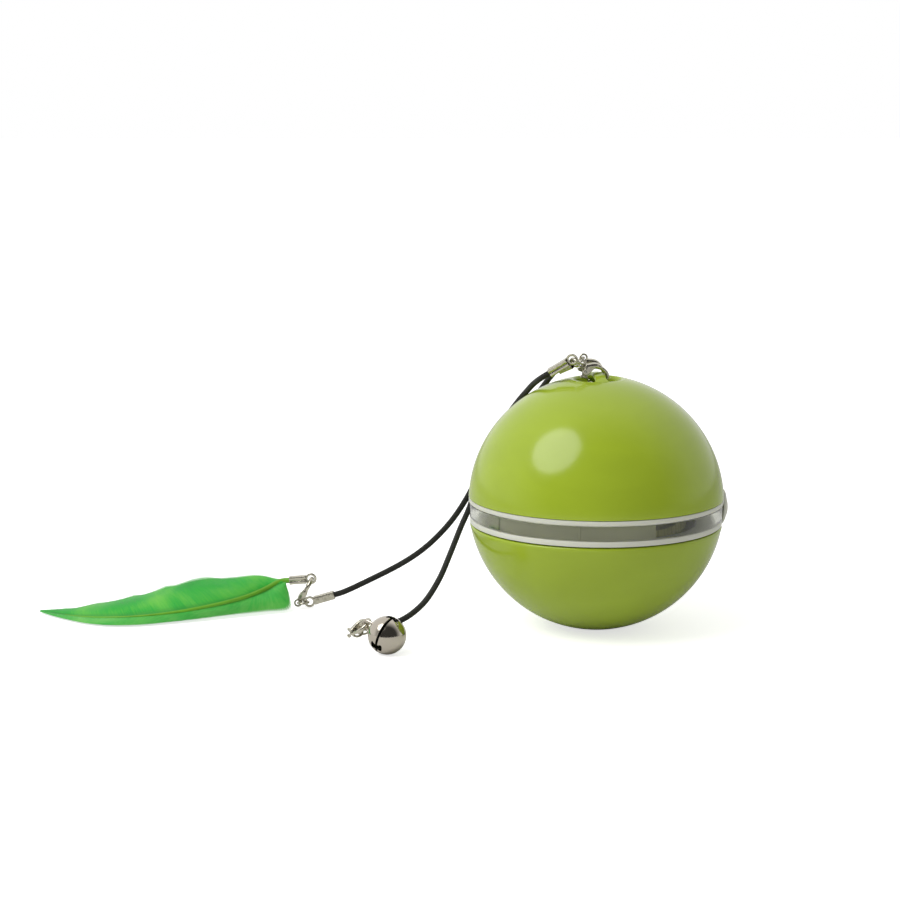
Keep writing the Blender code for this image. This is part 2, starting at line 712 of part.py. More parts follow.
def upper_rim(pocket):
    outer = rim_radius(UPPER_RIM_TOP)
    collar = collar_radius()
    profile = [
        (collar, UPPER_RIM_TOP + COLLAR_REACH),
        (collar, UPPER_RIM_TOP),
        (outer, UPPER_RIM_TOP),
        (outer, UPPER_RIM_BASE),
        (collar - COLLAR_WALL, UPPER_RIM_BASE),
        (collar - COLLAR_WALL, UPPER_RIM_TOP + COLLAR_REACH),
    ]
    rim = add_node("upper_rim", turned_mesh("upper_rim", profile, BALL_STEPS), WHITE, at_ball())
    base = UPPER_EDGE + LIP_HEIGHT + STACK_GAP
    for i in range(LUG_COUNT):
        low = (-LUG_WIDTH / 2, -(collar + LUG_PROUD), base)
        high = (LUG_WIDTH / 2, -(collar - COLLAR_WALL / 2), base + LUG_HEIGHT)
        turn = at_ball() @ Matrix.Rotation(LUG_FIRST_ANGLE + math.tau * i / LUG_COUNT, 4, "Z")
        lug = add_cutter(f"bayonet_lug_{i + 1}", box_mesh(f"bayonet_lug_{i + 1}", low, high), turn)
        boolean(rim, lug, "UNION")
    boolean(rim, pocket)


def light_band(stem_hole):
    outer = rim_radius(UPPER_RIM_TOP) - BAND_INSET
    profile = [
        (outer, BAND_TOP),
        (outer, BAND_BASE),
        (outer - BAND_WALL, BAND_BASE),
        (outer - BAND_WALL, BAND_TOP),
    ]
    band = add_node("light_band", turned_mesh("light_band", profile, BALL_STEPS), CLEAR, at_ball())
    boolean(band, stem_hole)


def band_inside():
    return rim_radius(UPPER_RIM_TOP) - BAND_INSET - BAND_WALL


def sleeve_radius():
    return band_inside() - SLEEVE_GAP


def ledge_inside():
    """Inner radius of the ledge that the sleeve stands on."""
    return sleeve_radius() - SLEEVE_WALL - SLEEVE_LEDGE / 2


def ledge_top():
    return LOWER_RIM_TOP - LOWER_RIM_HEIGHT + LEDGE_HEIGHT


def lower_rim(pocket):
    outer = rim_radius(LOWER_RIM_BASE)
    collar_base = LOWER_RIM_BASE - COLLAR_REACH
    collar = on_sphere(INNER_RADIUS, collar_base) - SEAT_GAP
    inner = ledge_inside()
    profile = [
        (outer - RIM_WIDTH, LOWER_RIM_TOP),
        (outer, LOWER_RIM_TOP),
        (outer, LOWER_RIM_BASE),
        (collar, LOWER_RIM_BASE),
        (collar, collar_base),
        (collar - COLLAR_WALL, collar_base),
        (collar - COLLAR_WALL, LOWER_RIM_BASE),
        (inner, LOWER_RIM_BASE),
        (inner, ledge_top()),
        (outer - RIM_WIDTH, ledge_top()),
    ]
    rim = add_node("lower_rim", turned_mesh("lower_rim", profile, BALL_STEPS), WHITE, at_ball())
    boolean(rim, pocket)


def light_diffuser():
    base = ledge_top() + STACK_GAP
    outer = sleeve_radius()
    profile = [
        (outer, base + SLEEVE_HEIGHT),
        (outer, base),
        (outer - SLEEVE_WALL, base),
        (outer - SLEEVE_WALL, base + SLEEVE_HEIGHT),
    ]
    sleeve = turned_mesh("light_diffuser", profile, BALL_STEPS)
    sleeve = add_node("light_diffuser", sleeve, FROSTED, at_ball())
    wedge = [(0, 0)]
    for i in range(WINDOW_STEPS + 1):
        angle = WINDOW_FROM + (WINDOW_TO - WINDOW_FROM) * i / WINDOW_STEPS
        point = on_circle(BALL_RADIUS + OVERRUN, angle, 0)
        wedge.append((point.x, point.y))
    window = prism_mesh("window", wedge, base - OVERRUN, base + SLEEVE_HEIGHT + OVERRUN)
    boolean(sleeve, add_cutter("window", window, at_ball()))


def lower_shell():
    rim = on_sphere(BALL_RADIUS, LOWER_EDGE)
    start = math.acos((LOWER_EDGE - EDGE_ROUND) / BALL_RADIUS)
    foot = math.pi - math.asin(FOOT_RADIUS / BALL_RADIUS)
    profile = arc(INNER_RADIUS, math.pi, math.acos(LOWER_EDGE / INNER_RADIUS), ARC_STEPS)
    profile[0] = (0, profile[0][1])
    profile.append((rim - EDGE_ROUND, LOWER_EDGE))
    profile.append((rim - EDGE_ROUND * 0.3, LOWER_EDGE - EDGE_ROUND * 0.3))
    profile += arc(BALL_RADIUS, start, foot, ARC_STEPS)
    profile.append((0, -BALL_HEIGHT))
    mesh = turned_mesh("lower_shell", profile, BALL_STEPS)
    shell = add_node("lower_shell", mesh, LIME, at_ball())
    boss_top = tray_base() - SEAT_GAP
    wall_middle = arc(INNER_RADIUS + SHELL_WALL / 2, 0, math.pi, ARC_STEPS * 2)
    core = add_cutter("boss_limit", turned_mesh("boss_limit", wall_middle, BALL_STEPS), at_ball())
    for i in range(SCREW_COUNT):
        place = on_circle(screw_circle(), screw_angle(i), 0)
        boss = cylinder_mesh(f"boss_{i + 1}", BOSS_RADIUS, 0, boss_top, 14)
        boss = add_cutter(f"boss_{i + 1}", boss, Matrix.Translation(place))
        boolean(boss, core, "INTERSECT")
        boolean(shell, boss, "UNION")
        base = tray_top() - screw_length()
        pilot = cylinder_mesh("pilot", SCREW_SHANK_RADIUS + PILOT_GAP, base, boss_top + OVERRUN, 12)
        boolean(shell, add_cutter(f"pilot_{i + 1}", pilot, Matrix.Translation(place)))
    centre = cylinder_mesh("centre_boss", CENTRE_BOSS_RADIUS, SHELL_WALL / 2, boss_top)
    boolean(shell, add_cutter("centre_boss", centre), "UNION")


def screw_angle(index):
    return SCREW_FIRST_ANGLE + math.tau * index / SCREW_COUNT


def post_angle(index):
    return POST_FIRST_ANGLE + math.tau * index / POST_COUNT


# Button and switch


def mode_button():
    back = button_back()
    tip = switch_face() + PLUNGER_PROUD + PLUNGER_PLAY
    front = BALL_RADIUS + BUTTON_PROUD
    catch = band_inside() - STEM_CATCH_GAP
    profile = [(0, front)]
    for i in range(1, 5):
        angle = math.pi / 2 * i / 5
        profile.append((BUTTON_RADIUS * math.sin(angle), front - dome_height() * (1 - math.cos(angle))))
    profile += [
        (BUTTON_RADIUS, back + BUTTON_FLANGE),
        (BUTTON_RADIUS, back),
        (STEM_RADIUS, back),
        (STEM_RADIUS, catch),
        (STEM_CATCH_RADIUS, catch),
        (STEM_CATCH_RADIUS, catch - STEM_CATCH_HEIGHT),
        (STEM_RADIUS, catch - STEM_CATCH_HEIGHT),
        (STEM_RADIUS, tip),
        (0, tip),
    ]
    add_node("mode_button", turned_mesh("mode_button", profile, 20), CLEAR, button_frame())


def stem_hole():
    mesh = cylinder_mesh("stem_hole", STEM_RADIUS + STEM_CLEARANCE, sleeve_radius(), BALL_RADIUS, 12)
    return add_cutter("stem_hole", mesh, button_frame())


def switch_face():
    """Distance of the switch's front from the ball's axis."""
    return board_radius() - SWITCH_SETBACK


def tact_switch():
    half = SWITCH_WIDTH / 2
    base = board_top() + BOARD_PART_GAP - BALL_HEIGHT - BAND_MIDDLE
    face = switch_face()
    low = (base, -half, face - SWITCH_LENGTH)
    high = (base + SWITCH_HEIGHT, half, face)
    body = add_node("tact_switch", box_mesh("tact_switch", low, high), BLACK, button_frame())
    bore_floor = face - PLUNGER_DEPTH - BUTTON_TRAVEL - SEAT_GAP
    bore = cylinder_mesh("plunger_bore", PLUNGER_RADIUS + PLUNGER_CLEARANCE, bore_floor, face + OVERRUN, 12)
    boolean(body, add_cutter("plunger_bore", bore, button_frame()))
    plunger = cylinder_mesh(
        "switch_plunger", PLUNGER_RADIUS, face - PLUNGER_DEPTH, face + PLUNGER_PROUD, 12
    )
    add_node("switch_plunger", plunger, WHITE, button_frame())


# Carrier module


def board_base():
    return BALL_HEIGHT - BOARD_DROP


def board_top():
    return board_base() + BOARD_THICKNESS


def board_radius():
    return ledge_inside() - BOARD_EDGE_GAP


def board_bore():
    return tube_outer() + BOARD_BORE_GAP


def board_circle(share):
    """Radius of a circle on the board, a share of the way from its bore to its edge."""
    return board_bore() + (board_radius() - board_bore()) * share


def screw_mesh(name, head_radius, head_height, shank_radius, length):
    """A screw with its head's underside at the origin."""
    profile = [
        (0, head_height),
        (head_radius * 0.75, head_height),
        (head_radius, head_height * 0.4),
        (head_radius, 0),
        (shank_radius, 0),
        (shank_radius, -length + shank_radius),
        (0, -length),
    ]
    return turned_mesh(name, profile, 12)


def tube_outer():
    return CELL_RADIUS + TUBE_CLEARANCE + TUBE_WALL


def tray_base():
    return BALL_HEIGHT * TRAY_HEIGHT_SHARE


def tray_top():
    return tray_base() + TRAY_THICKNESS


def tube_base():
    return tray_top() + SEAT_GAP


def first_cell_base():
    return tube_base() + TUBE_FLOOR + SEAT_GAP + CONTACT_THICKNESS + CONTACT_RISE + CELL_GAP


def tube_top():
    return first_cell_base() + CELL_COUNT * (CELL_HEIGHT + CELL_GAP)


def tray_radius():
    return on_sphere(INNER_RADIUS, BALL_HEIGHT - tray_base()) - TRAY_EDGE_GAP


def tray_circle(share):
    """Radius of a circle on the tray, a share of the way from its seat ring to its edge."""
    ring = tube_outer() + SEAT_GAP + SEAT_RING_WALL
    return ring + (tray_radius() - ring) * share


def screw_circle():
    return tray_circle(SCREW_CIRCLE_SHARE)


def post_circle():
    return tray_circle(POST_CIRCLE_SHARE)


def screw_length():
    """The carrier's screws end just above the inside of the lower shell."""
    inside = BALL_HEIGHT - on_sphere(INNER_RADIUS, screw_circle())
    return tray_top() + SEAT_GAP - inside - SCREW_TIP_GAP


def carrier_tray():
    top = tray_top()
    base = tray_base()
    radius = tray_radius()
    seat = tube_outer() + SEAT_GAP
    profile = [
        (0, top),
        (seat, top),
        (seat, top + SEAT_RING_HEIGHT),
        (seat + SEAT_RING_WALL, top + SEAT_RING_HEIGHT),
        (seat + SEAT_RING_WALL, top),
        (radius, top),
        (radius, base),
        (0, base),
    ]
    tray = add_node("carrier_tray", turned_mesh("carrier_tray", profile, 36), BLACK)
    post_top = board_base() - SEAT_GAP
    for i in range(POST_COUNT):
        post_at = Matrix.Translation(on_circle(post_circle(), post_angle(i), 0))
        post = cylinder_mesh("post", POST_RADIUS, base + TRAY_THICKNESS / 2, post_top, 14)
        boolean(tray, add_cutter(f"post_{i + 1}", post, post_at), "UNION")
        drill_base = board_top() - BOARD_SCREW_LENGTH
        radius = BOARD_SCREW_SHANK_RADIUS + PILOT_GAP
        drill = cylinder_mesh("drill", radius, drill_base, post_top + OVERRUN, 10)
        boolean(tray, add_cutter(f"post_drill_{i + 1}", drill, post_at))
    for i in range(SCREW_COUNT):
        screw_at = Matrix.Translation(on_circle(screw_circle(), screw_angle(i), 0))
        radius = SCREW_SHANK_RADIUS + PILOT_GAP
        hole = cylinder_mesh("tray_hole", radius, base - OVERRUN, top + OVERRUN, 12)
        boolean(tray, add_cutter(f"tray_hole_{i + 1}", hole, screw_at))
        screw = screw_mesh(
            "carrier_screw",
            SCREW_HEAD_RADIUS,
            SCREW_HEAD_HEIGHT,
            SCREW_SHANK_RADIUS,
            screw_length(),
        )
        seat_at = Matrix.Translation(UP * (top + SEAT_GAP))
        add_node(f"carrier_screw_{i + 1}", screw, STEEL, screw_at @ seat_at)


def circuit_board():
    profile = [
        (board_radius(), board_top()),
        (board_radius(), board_base()),
        (board_bore(), board_base()),
        (board_bore(), board_top()),
    ]
    board = add_node("circuit_board", turned_mesh("circuit_board", profile, 36), BOARD)
    reach = DOOR_EAR_RADIUS + BOARD_BORE_GAP
    notch = cylinder_mesh("ear_notch", reach, board_base() - OVERRUN, board_top() + OVERRUN, 14)
    boolean(board, add_cutter("ear_notch", notch, ear_place()))
    for i in range(POST_COUNT):
        place = Matrix.Translation(on_circle(post_circle(), post_angle(i), 0))
        radius = BOARD_SCREW_SHANK_RADIUS + PILOT_GAP
        hole = cylinder_mesh("board_hole", radius, board_base() - OVERRUN, board_top() + OVERRUN, 10)
        boolean(board, add_cutter(f"board_hole_{i + 1}", hole, place))
        screw = screw_mesh(
            "board_screw",
            BOARD_SCREW_HEAD_RADIUS,
            BOARD_SCREW_HEAD_HEIGHT,
            BOARD_SCREW_SHANK_RADIUS,
            BOARD_SCREW_LENGTH,
        )
        seat = Matrix.Translation(UP * (board_top() + SEAT_GAP))
        add_node(f"board_screw_{i + 1}", screw, STEEL, place @ seat)


def board_parts():
    base = board_top() + BOARD_PART_GAP
    half = [length / 2 for length in CHIP_SIZE]
    chip = box_mesh("control_chip", (-half[0], -half[1], 0), (half[0], half[1], CHIP_SIZE[2]))
    place = Matrix.Translation(on_circle(board_circle(CHIP_CIRCLE_SHARE), CHIP_ANGLE, base))
    add_node("control_chip", chip, BLACK, place @ Matrix.Rotation(CHIP_ANGLE, 4, "Z"))
    can = cylinder_mesh("motion_switch", SENSOR_RADIUS, 0, SENSOR_HEIGHT, 16)
    place = Matrix.Translation(on_circle(board_circle(SENSOR_CIRCLE_SHARE), SENSOR_ANGLE, base))
    add_node("motion_switch", can, STEEL, place)
    shoulder = LED_HEIGHT - LED_RADIUS
    for i in range(LED_COUNT):
        profile = [(0, LED_HEIGHT)]
        for step in range(1, 4):
            angle = math.pi / 2 * step / 3
            profile.append((LED_RADIUS * math.sin(angle), shoulder + LED_RADIUS * math.cos(angle)))
        flange = LED_RADIUS + LED_FLANGE
        profile += [(LED_RADIUS, LED_FLANGE * 2), (flange, LED_FLANGE * 2), (flange, 0), (0, 0)]
        angle = LED_FIRST_ANGLE + math.tau * i / LED_COUNT
        place = Matrix.Translation(on_circle(board_circle(LED_CIRCLE_SHARE), angle, base))
        add_node(f"led_{i + 1}", turned_mesh("led", profile, 12), LED_LENS, place)


def ear_place():
    """The door screw's place, just outside the tube."""
    return Matrix.Translation(on_circle(tube_outer() + DOOR_EAR_OFFSET, DOOR_EAR_ANGLE, 0))


def ear_mesh(name, low, high):
    return cylinder_mesh(name, DOOR_EAR_RADIUS, low, high, 14)


def cell_holder():
    inner = CELL_RADIUS + TUBE_CLEARANCE
    base = tube_base()
    profile = [
        (0, base + TUBE_FLOOR),
        (inner, base + TUBE_FLOOR),
        (inner, tube_top()),
        (tube_outer(), tube_top()),
        (tube_outer(), base),
        (0, base),
    ]
    holder = add_node("cell_holder", turned_mesh("cell_holder", profile, 24), BLACK)
    at_ear = ear_place()
    ear = add_cutter("holder_ear", ear_mesh("holder_ear", tube_top() - DOOR_EAR_HEIGHT, tube_top()), at_ear)
    boolean(holder, ear, "UNION")
    reach = inner - TUBE_CLEARANCE / 2
    bore_base = base + TUBE_FLOOR + CELL_GAP
    bore = cylinder_mesh("holder_bore", reach, bore_base, tube_top() + OVERRUN, 24)
    boolean(holder, add_cutter("holder_bore", bore))
    drill_base = tube_top() + SEAT_GAP + DOOR_THICKNESS + SEAT_GAP - DOOR_SCREW_LENGTH - STACK_GAP
    drill = cylinder_mesh(
        "ear_drill",
        DOOR_SCREW_SHANK_RADIUS + PILOT_GAP,
        drill_base,
        tube_top() + OVERRUN,
        10,
    )
    boolean(holder, add_cutter("ear_drill", drill, at_ear))


def cells():
    rim = CELL_RADIUS * CELL_RIM_SHARE
    step = CELL_HEIGHT * CELL_STEP_SHARE
    profile = [
        (0, CELL_HEIGHT),
        (CELL_RADIUS, CELL_HEIGHT),
        (CELL_RADIUS, step),
        (rim, step),
        (rim, 0),
        (0, 0),
    ]
    for i in range(CELL_COUNT):
        base = first_cell_base() + i * (CELL_HEIGHT + CELL_GAP)
        mesh = turned_mesh("button_cell", profile, 24)
        add_node(f"button_cell_{i + 1}", mesh, STEEL, Matrix.Translation(UP * base))


def contacts():
    """A sprung dished washer under the cells, and a flat plate in the door's underside."""
    base = tube_base() + TUBE_FLOOR + SEAT_GAP
    reach = CELL_RADIUS * CELL_RIM_SHARE
    profile = [
        (0, base + CONTACT_RISE + CONTACT_THICKNESS),
        (reach * 0.4, base + CONTACT_RISE + CONTACT_THICKNESS),
        (reach, base + CONTACT_THICKNESS),
        (reach, base),
        (reach * 0.4, base + CONTACT_RISE),
        (0, base + CONTACT_RISE),
    ]
    add_node("negative_contact", turned_mesh("negative_contact", profile, 20), STEEL)
    plate_base = tube_top() + CELL_GAP / 2
    plate = cylinder_mesh("positive_contact", reach, plate_base, plate_base + CONTACT_THICKNESS, 20)
    add_node("positive_contact", plate, STEEL)


def battery_door():
    base = tube_top() + SEAT_GAP
    top = base + DOOR_THICKNESS
    recess = CONTACT_THICKNESS + CELL_GAP / 2 + CELL_GAP
    reach = CELL_RADIUS * CELL_RIM_SHARE + CELL_GAP
    profile = [
        (0, top),
        (tube_outer(), top),
        (tube_outer(), base),
        (reach, base),
        (reach, base + recess - CELL_GAP),
        (0, base + recess - CELL_GAP),
    ]
    door = add_node("battery_door", turned_mesh("battery_door", profile, 24), BLACK)
    at_ear = ear_place()
    boolean(door, add_cutter("door_ear", ear_mesh("door_ear", base, top), at_ear), "UNION")
    hole = cylinder_mesh(
        "door_hole",
        DOOR_SCREW_SHANK_RADIUS + PILOT_GAP,
        base - OVERRUN,
        top + OVERRUN,
        10,
    )
    boolean(door, add_cutter("door_hole", hole, at_ear))
    screw = screw_mesh(
        "battery_door_screw",
        DOOR_SCREW_HEAD_RADIUS,
        DOOR_SCREW_HEAD_HEIGHT,
        DOOR_SCREW_SHANK_RADIUS,
        DOOR_SCREW_LENGTH,
    )
    seat = Matrix.Translation(UP * (top + SEAT_GAP))
    add_node("battery_door_screw", screw, STEEL, at_ear @ seat)


def ballast_weight():
    """A steel slug that fills the bowl of the lower shell round its centre boss."""
    radius = INNER_RADIUS - BALLAST_GAP
    top = -on_sphere(radius, screw_circle() - BOSS_RADIUS - BALLAST_BOSS_GAP)
    bore = CENTRE_BOSS_RADIUS + SEAT_GAP
    start = math.acos(top / radius)
    end = math.pi - math.asin(bore / radius)
    profile = [(bore, top), *arc(radius, start, end, 6)]
    mesh = turned_mesh("ballast_weight", profile, 32)
    add_node("ballast_weight", mesh, STEEL, at_ball())


# Clasps, rings and crimps


def hook_outline():
    """The claw's hook and neck seen flat: X runs to its round end, and the lever closes +Y."""
    turns = [math.pi / 2 - math.pi * i / HOOK_STEPS for i in range(HOOK_STEPS + 1)]
    points = [(-CLASP_TIP, CLASP_OUTER)]
    points += [(CLASP_OUTER * math.cos(a), CLASP_OUTER * math.sin(a)) for a in turns]
    points += [
        (-CLASP_THROAT, -CLASP_OUTER * 0.96),
        (-CLASP_NECK + NECK_HALF, -NECK_HALF),
        (-CLASP_NECK, -NECK_HALF),
        (-CLASP_NECK, NECK_HALF),
        (-CLASP_THROAT - NECK_HALF, NECK_HALF),
        (-CLASP_THROAT - NECK_HALF, -NECK_HALF),
        (-CLASP_THROAT, -CLASP_INNER * 0.5),
        (-CLASP_MOUTH, -CLASP_INNER),
    ]
    points += [(CLASP_INNER * math.cos(a), CLASP_INNER * math.sin(a)) for a in reversed(turns)]
    points.append((-CLASP_TIP, CLASP_INNER))
    return points


def body_outline():
    """The thick part of the claw, between its mouth and its neck."""
    return [
        (-CLASP_MOUTH, -CLASP_INNER * 1.05),
        (-CLASP_MOUTH, -CLASP_OUTER),
        (-CLASP_THROAT, -CLASP_OUTER * 0.96),
        (-CLASP_THROAT - NECK_HALF * 1.5, -CLASP_INNER),
        (-CLASP_NECK + NECK_HALF, -NECK_HALF * 1.3),
        (-CLASP_NECK + NECK_HALF, NECK_HALF * 2),
        (LEVER_PIVOT.x - NECK_HALF * 0.6, LEVER_PIVOT.y + NECK_HALF * 1.5),
        (LEVER_PIVOT.x + NECK_HALF * 0.8, LEVER_PIVOT.y + NECK_HALF * 1.6),
        (-CLASP_THROAT, LEVER_PIVOT.y + NECK_HALF),
        (-CLASP_THROAT, -CLASP_INNER * 0.5),
    ]


def lever_outline():
    """The lever seen flat, about its own pivot."""
    end = -CLASP_TIP - LEVER_END_GAP - LEVER_PIVOT.x
    top = LEVER_TOP - LEVER_PIVOT.y
    return [
        (-LEVER_BOSS, -LEVER_BOSS * 0.5),
        (-LEVER_BOSS * 0.4, -LEVER_BOSS),
        (LEVER_BOSS * 0.6, -LEVER_BOSS),
        (LEVER_BOSS * 1.8, top - LEVER_WIDTH),
        (end, top - LEVER_WIDTH),
        (end, top),
        (LEVER_BOSS * 1.4, top),
        (LEVER_BOSS * 0.3, LEVER_TAB - LEVER_PIVOT.y),
        (-LEVER_BOSS * 0.8, LEVER_TAB - LEVER_PIVOT.y),
        (-LEVER_BOSS, LEVER_BOSS),
    ]


def clasp(name, nose, aim, side, eye_axis):
    """One lobster clasp, from the middle of its hook's round end.

    aim points from its eye to its hook, and its lever closes the side that side points to.
    """
    matrix = frame(nose, aim, aim.cross(side))
    hook_half, half = HOOK_THICKNESS / 2, CLASP_THICKNESS / 2
    body = add_node(
        f"{name}_body",
        prism_mesh(f"{name}_body", hook_outline(), -hook_half, hook_half),
        SILVER,
        matrix,
    )
    bevel(body, CLASP_ROUND, 1)
    thick = add_cutter(f"{name}_thick", prism_mesh("thick", body_outline(), -half, half), matrix)
    bevel(thick, CLASP_ROUND, 1)
    boolean(body, thick, "UNION")
    eye = nose - aim.normalized() * CLASP_REACH
    eye_at = frame_up(eye, eye_axis, aim)
    boolean(body, add_cutter(f"{name}_eye", torus_mesh("eye", EYE_RADIUS, EYE_WIRE), eye_at), "UNION")
    slot_half = LEVER_SLOT / 2
    low = (-CLASP_NECK + NECK_HALF / 2, SLOT_FLOOR, -slot_half)
    high = (-CLASP_THROAT + OVERRUN / 2, CLASP_OUTER + OVERRUN, slot_half)
    boolean(body, add_cutter(f"{name}_slot", box_mesh("slot", low, high), matrix))
    pivot = matrix @ Matrix.Translation(LEVER_PIVOT)
    hole = cylinder_mesh("pin_hole", PIN_RADIUS + PIN_CLEARANCE, -CLASP_THICKNESS, CLASP_THICKNESS, 10)
    drill = add_cutter(f"{name}_pin_hole", hole, pivot)
    boolean(body, drill)
    lever_half = LEVER_THICKNESS / 2
    lever = prism_mesh(f"{name}_lever", lever_outline(), -lever_half, lever_half)
    lever = add_node(f"{name}_lever", lever, SILVER, pivot)
    boolean(lever, drill)
    pin_half = half - PIN_SHORT
    add_node(f"{name}_pin", cylinder_mesh("pin", PIN_RADIUS, -pin_half, pin_half, 8), STEEL, pivot)
    return eye


def jump_ring(name, eye, tangent, aim, turn):
    """A ring through an eye. Returns where the next piece hangs on it and its wire's direction.

    The ring passes through the eye along tangent, its middle lies from the eye along aim, and
    turn is the angle round the ring from the eye to the next piece.
    """
    tangent = tangent.normalized()
    aim = (aim - aim.dot(tangent) * tangent).normalized()
    middle = eye + aim * RING_RADIUS
    add_node(
        name,
        torus_mesh(name, RING_RADIUS, RING_WIRE),
        SILVER,
        frame_up(middle, aim.cross(tangent), aim),
    )
    hang = middle + RING_RADIUS * (-aim * math.cos(turn) + tangent * math.sin(turn))
    return hang, aim * math.sin(turn) + tangent * math.cos(turn)


def crimp(name, hang, wire, aim, length=CRIMP_LENGTH, bore_radius=CORD_RADIUS):
    """A folded crimp that hangs on a wire, with its barrel along aim.

    Returns the points inside its bore, at its mouth and straight out of it that a cord runs
    through.
    """
    aim = aim.normalized()
    loop = hang + aim * RING_IN_LOOP
    matrix = frame(loop, aim, wire)
    half_width, half_height = CRIMP_WIDTH / 2, CRIMP_HEIGHT / 2
    end = CRIMP_START + length
    barrel = box_mesh(name, (CRIMP_START, -half_width, -half_height), (end, half_width, half_height))
    obj = add_node(name, barrel, SILVER, matrix)
    bevel(obj, CRIMP_ROUND, 1)
    ring = torus_mesh("crimp_loop", LOOP_RADIUS, LOOP_WIRE)
    boolean(obj, add_cutter(f"{name}_loop", ring, matrix), "UNION")
    radius = bore_radius + CRIMP_BORE_CLEARANCE
    bore = cylinder_mesh("crimp_bore", radius, CRIMP_START + CRIMP_FLOOR, end + OVERRUN, 12)
    along_x = Matrix.Rotation(math.pi / 2, 4, "Y")
    boolean(obj, add_cutter(f"{name}_bore", bore, matrix @ along_x))
    inside = loop + aim * (CRIMP_START + CRIMP_FLOOR + CORD_INSET_GAP)
    return inside, loop + aim * end, loop + aim * (end + CORD_STRAIGHT)


def cord(name, start, route, finish):
    """start and finish are the points that the crimps at the two ends give."""
    free = smooth_route([start[1], start[2], *route, finish[2], finish[1]], CORD_SPACING)
    mesh = tube_mesh(name, [start[0], *free, finish[0]], CORD_RADIUS)
    add_node(name, mesh, WAXED)


def hook_direction(tilt):
    """From the bar out to the left and up, square to the bar."""
    left = bar_axis().cross(UP) * -1
    return left * math.cos(tilt) + UP * math.sin(tilt)


def bell_line():
    bar = bar_axis()
    aim = -hook_direction(BELL_HOOK_TILT)
    eye = clasp("bell_hook", bar_middle(-HOOK_SPACING / 2), aim, bar.cross(aim), bar)
    hang, wire = jump_ring("bell_hook_ring", eye, bar, BELL_HOOK_RING_AIM, BELL_HOOK_LINK_TURN)
    start = crimp("bell_top_crimp", hang, wire, BELL_TOP_CRIMP_AIM)

    aim = BELL_CLASP_AIM.normalized()
    nose = BELL_CENTRE + BELL_AXIS * BELL_HANG - aim * hook_wire()
    eye = clasp("bell_clasp", nose, aim, BELL_CLASP_SIDE, BELL_EYE_AXIS)
    hang, wire = jump_ring("bell_clasp_ring", eye, BELL_EYE_AXIS, BELL_RING_AIM, math.pi)
    finish = crimp("bell_bottom_crimp", hang, wire, BELL_END_CRIMP_AIM)
    cord("bell_cord", start, BELL_CORD_ROUTE, finish)


def feather_line():
    """Returns where the feather's own crimp hangs, and the direction of the wire there."""
    bar = bar_axis()
    aim = -hook_direction(FEATHER_HOOK_TILT)
    eye = clasp("feather_hook", bar_middle(HOOK_SPACING / 2), aim, bar.cross(aim), bar)
    hang, wire = jump_ring("feather_hook_ring", eye, bar, FEATHER_HOOK_RING_AIM, FEATHER_HOOK_LINK_TURN)
    start = crimp("feather_top_crimp", hang, wire, FEATHER_TOP_CRIMP_AIM)

    aim = FEATHER_CLASP_AIM.normalized()
    nose = FEATHER_EYE + aim * CLASP_REACH
    clasp("feather_clasp", nose, aim, FEATHER_CLASP_SIDE, FEATHER_CLASP_SIDE)
    hang, wire = jump_ring("feather_clasp_ring", FEATHER_EYE, FEATHER_CLASP_SIDE, FEATHER_RING_AIM, math.pi)
    finish = crimp("feather_bottom_crimp", hang, wire, FEATHER_END_CRIMP_AIM)
    cord("feather_cord", start, FEATHER_CORD_ROUTE, finish)
    return nose + aim * hook_wire(), FEATHER_CLASP_SIDE


def hook_wire():
    """Distance of the hook's wire from the middle of its round end."""
    return (CLASP_OUTER + CLASP_INNER) / 2


# Bell


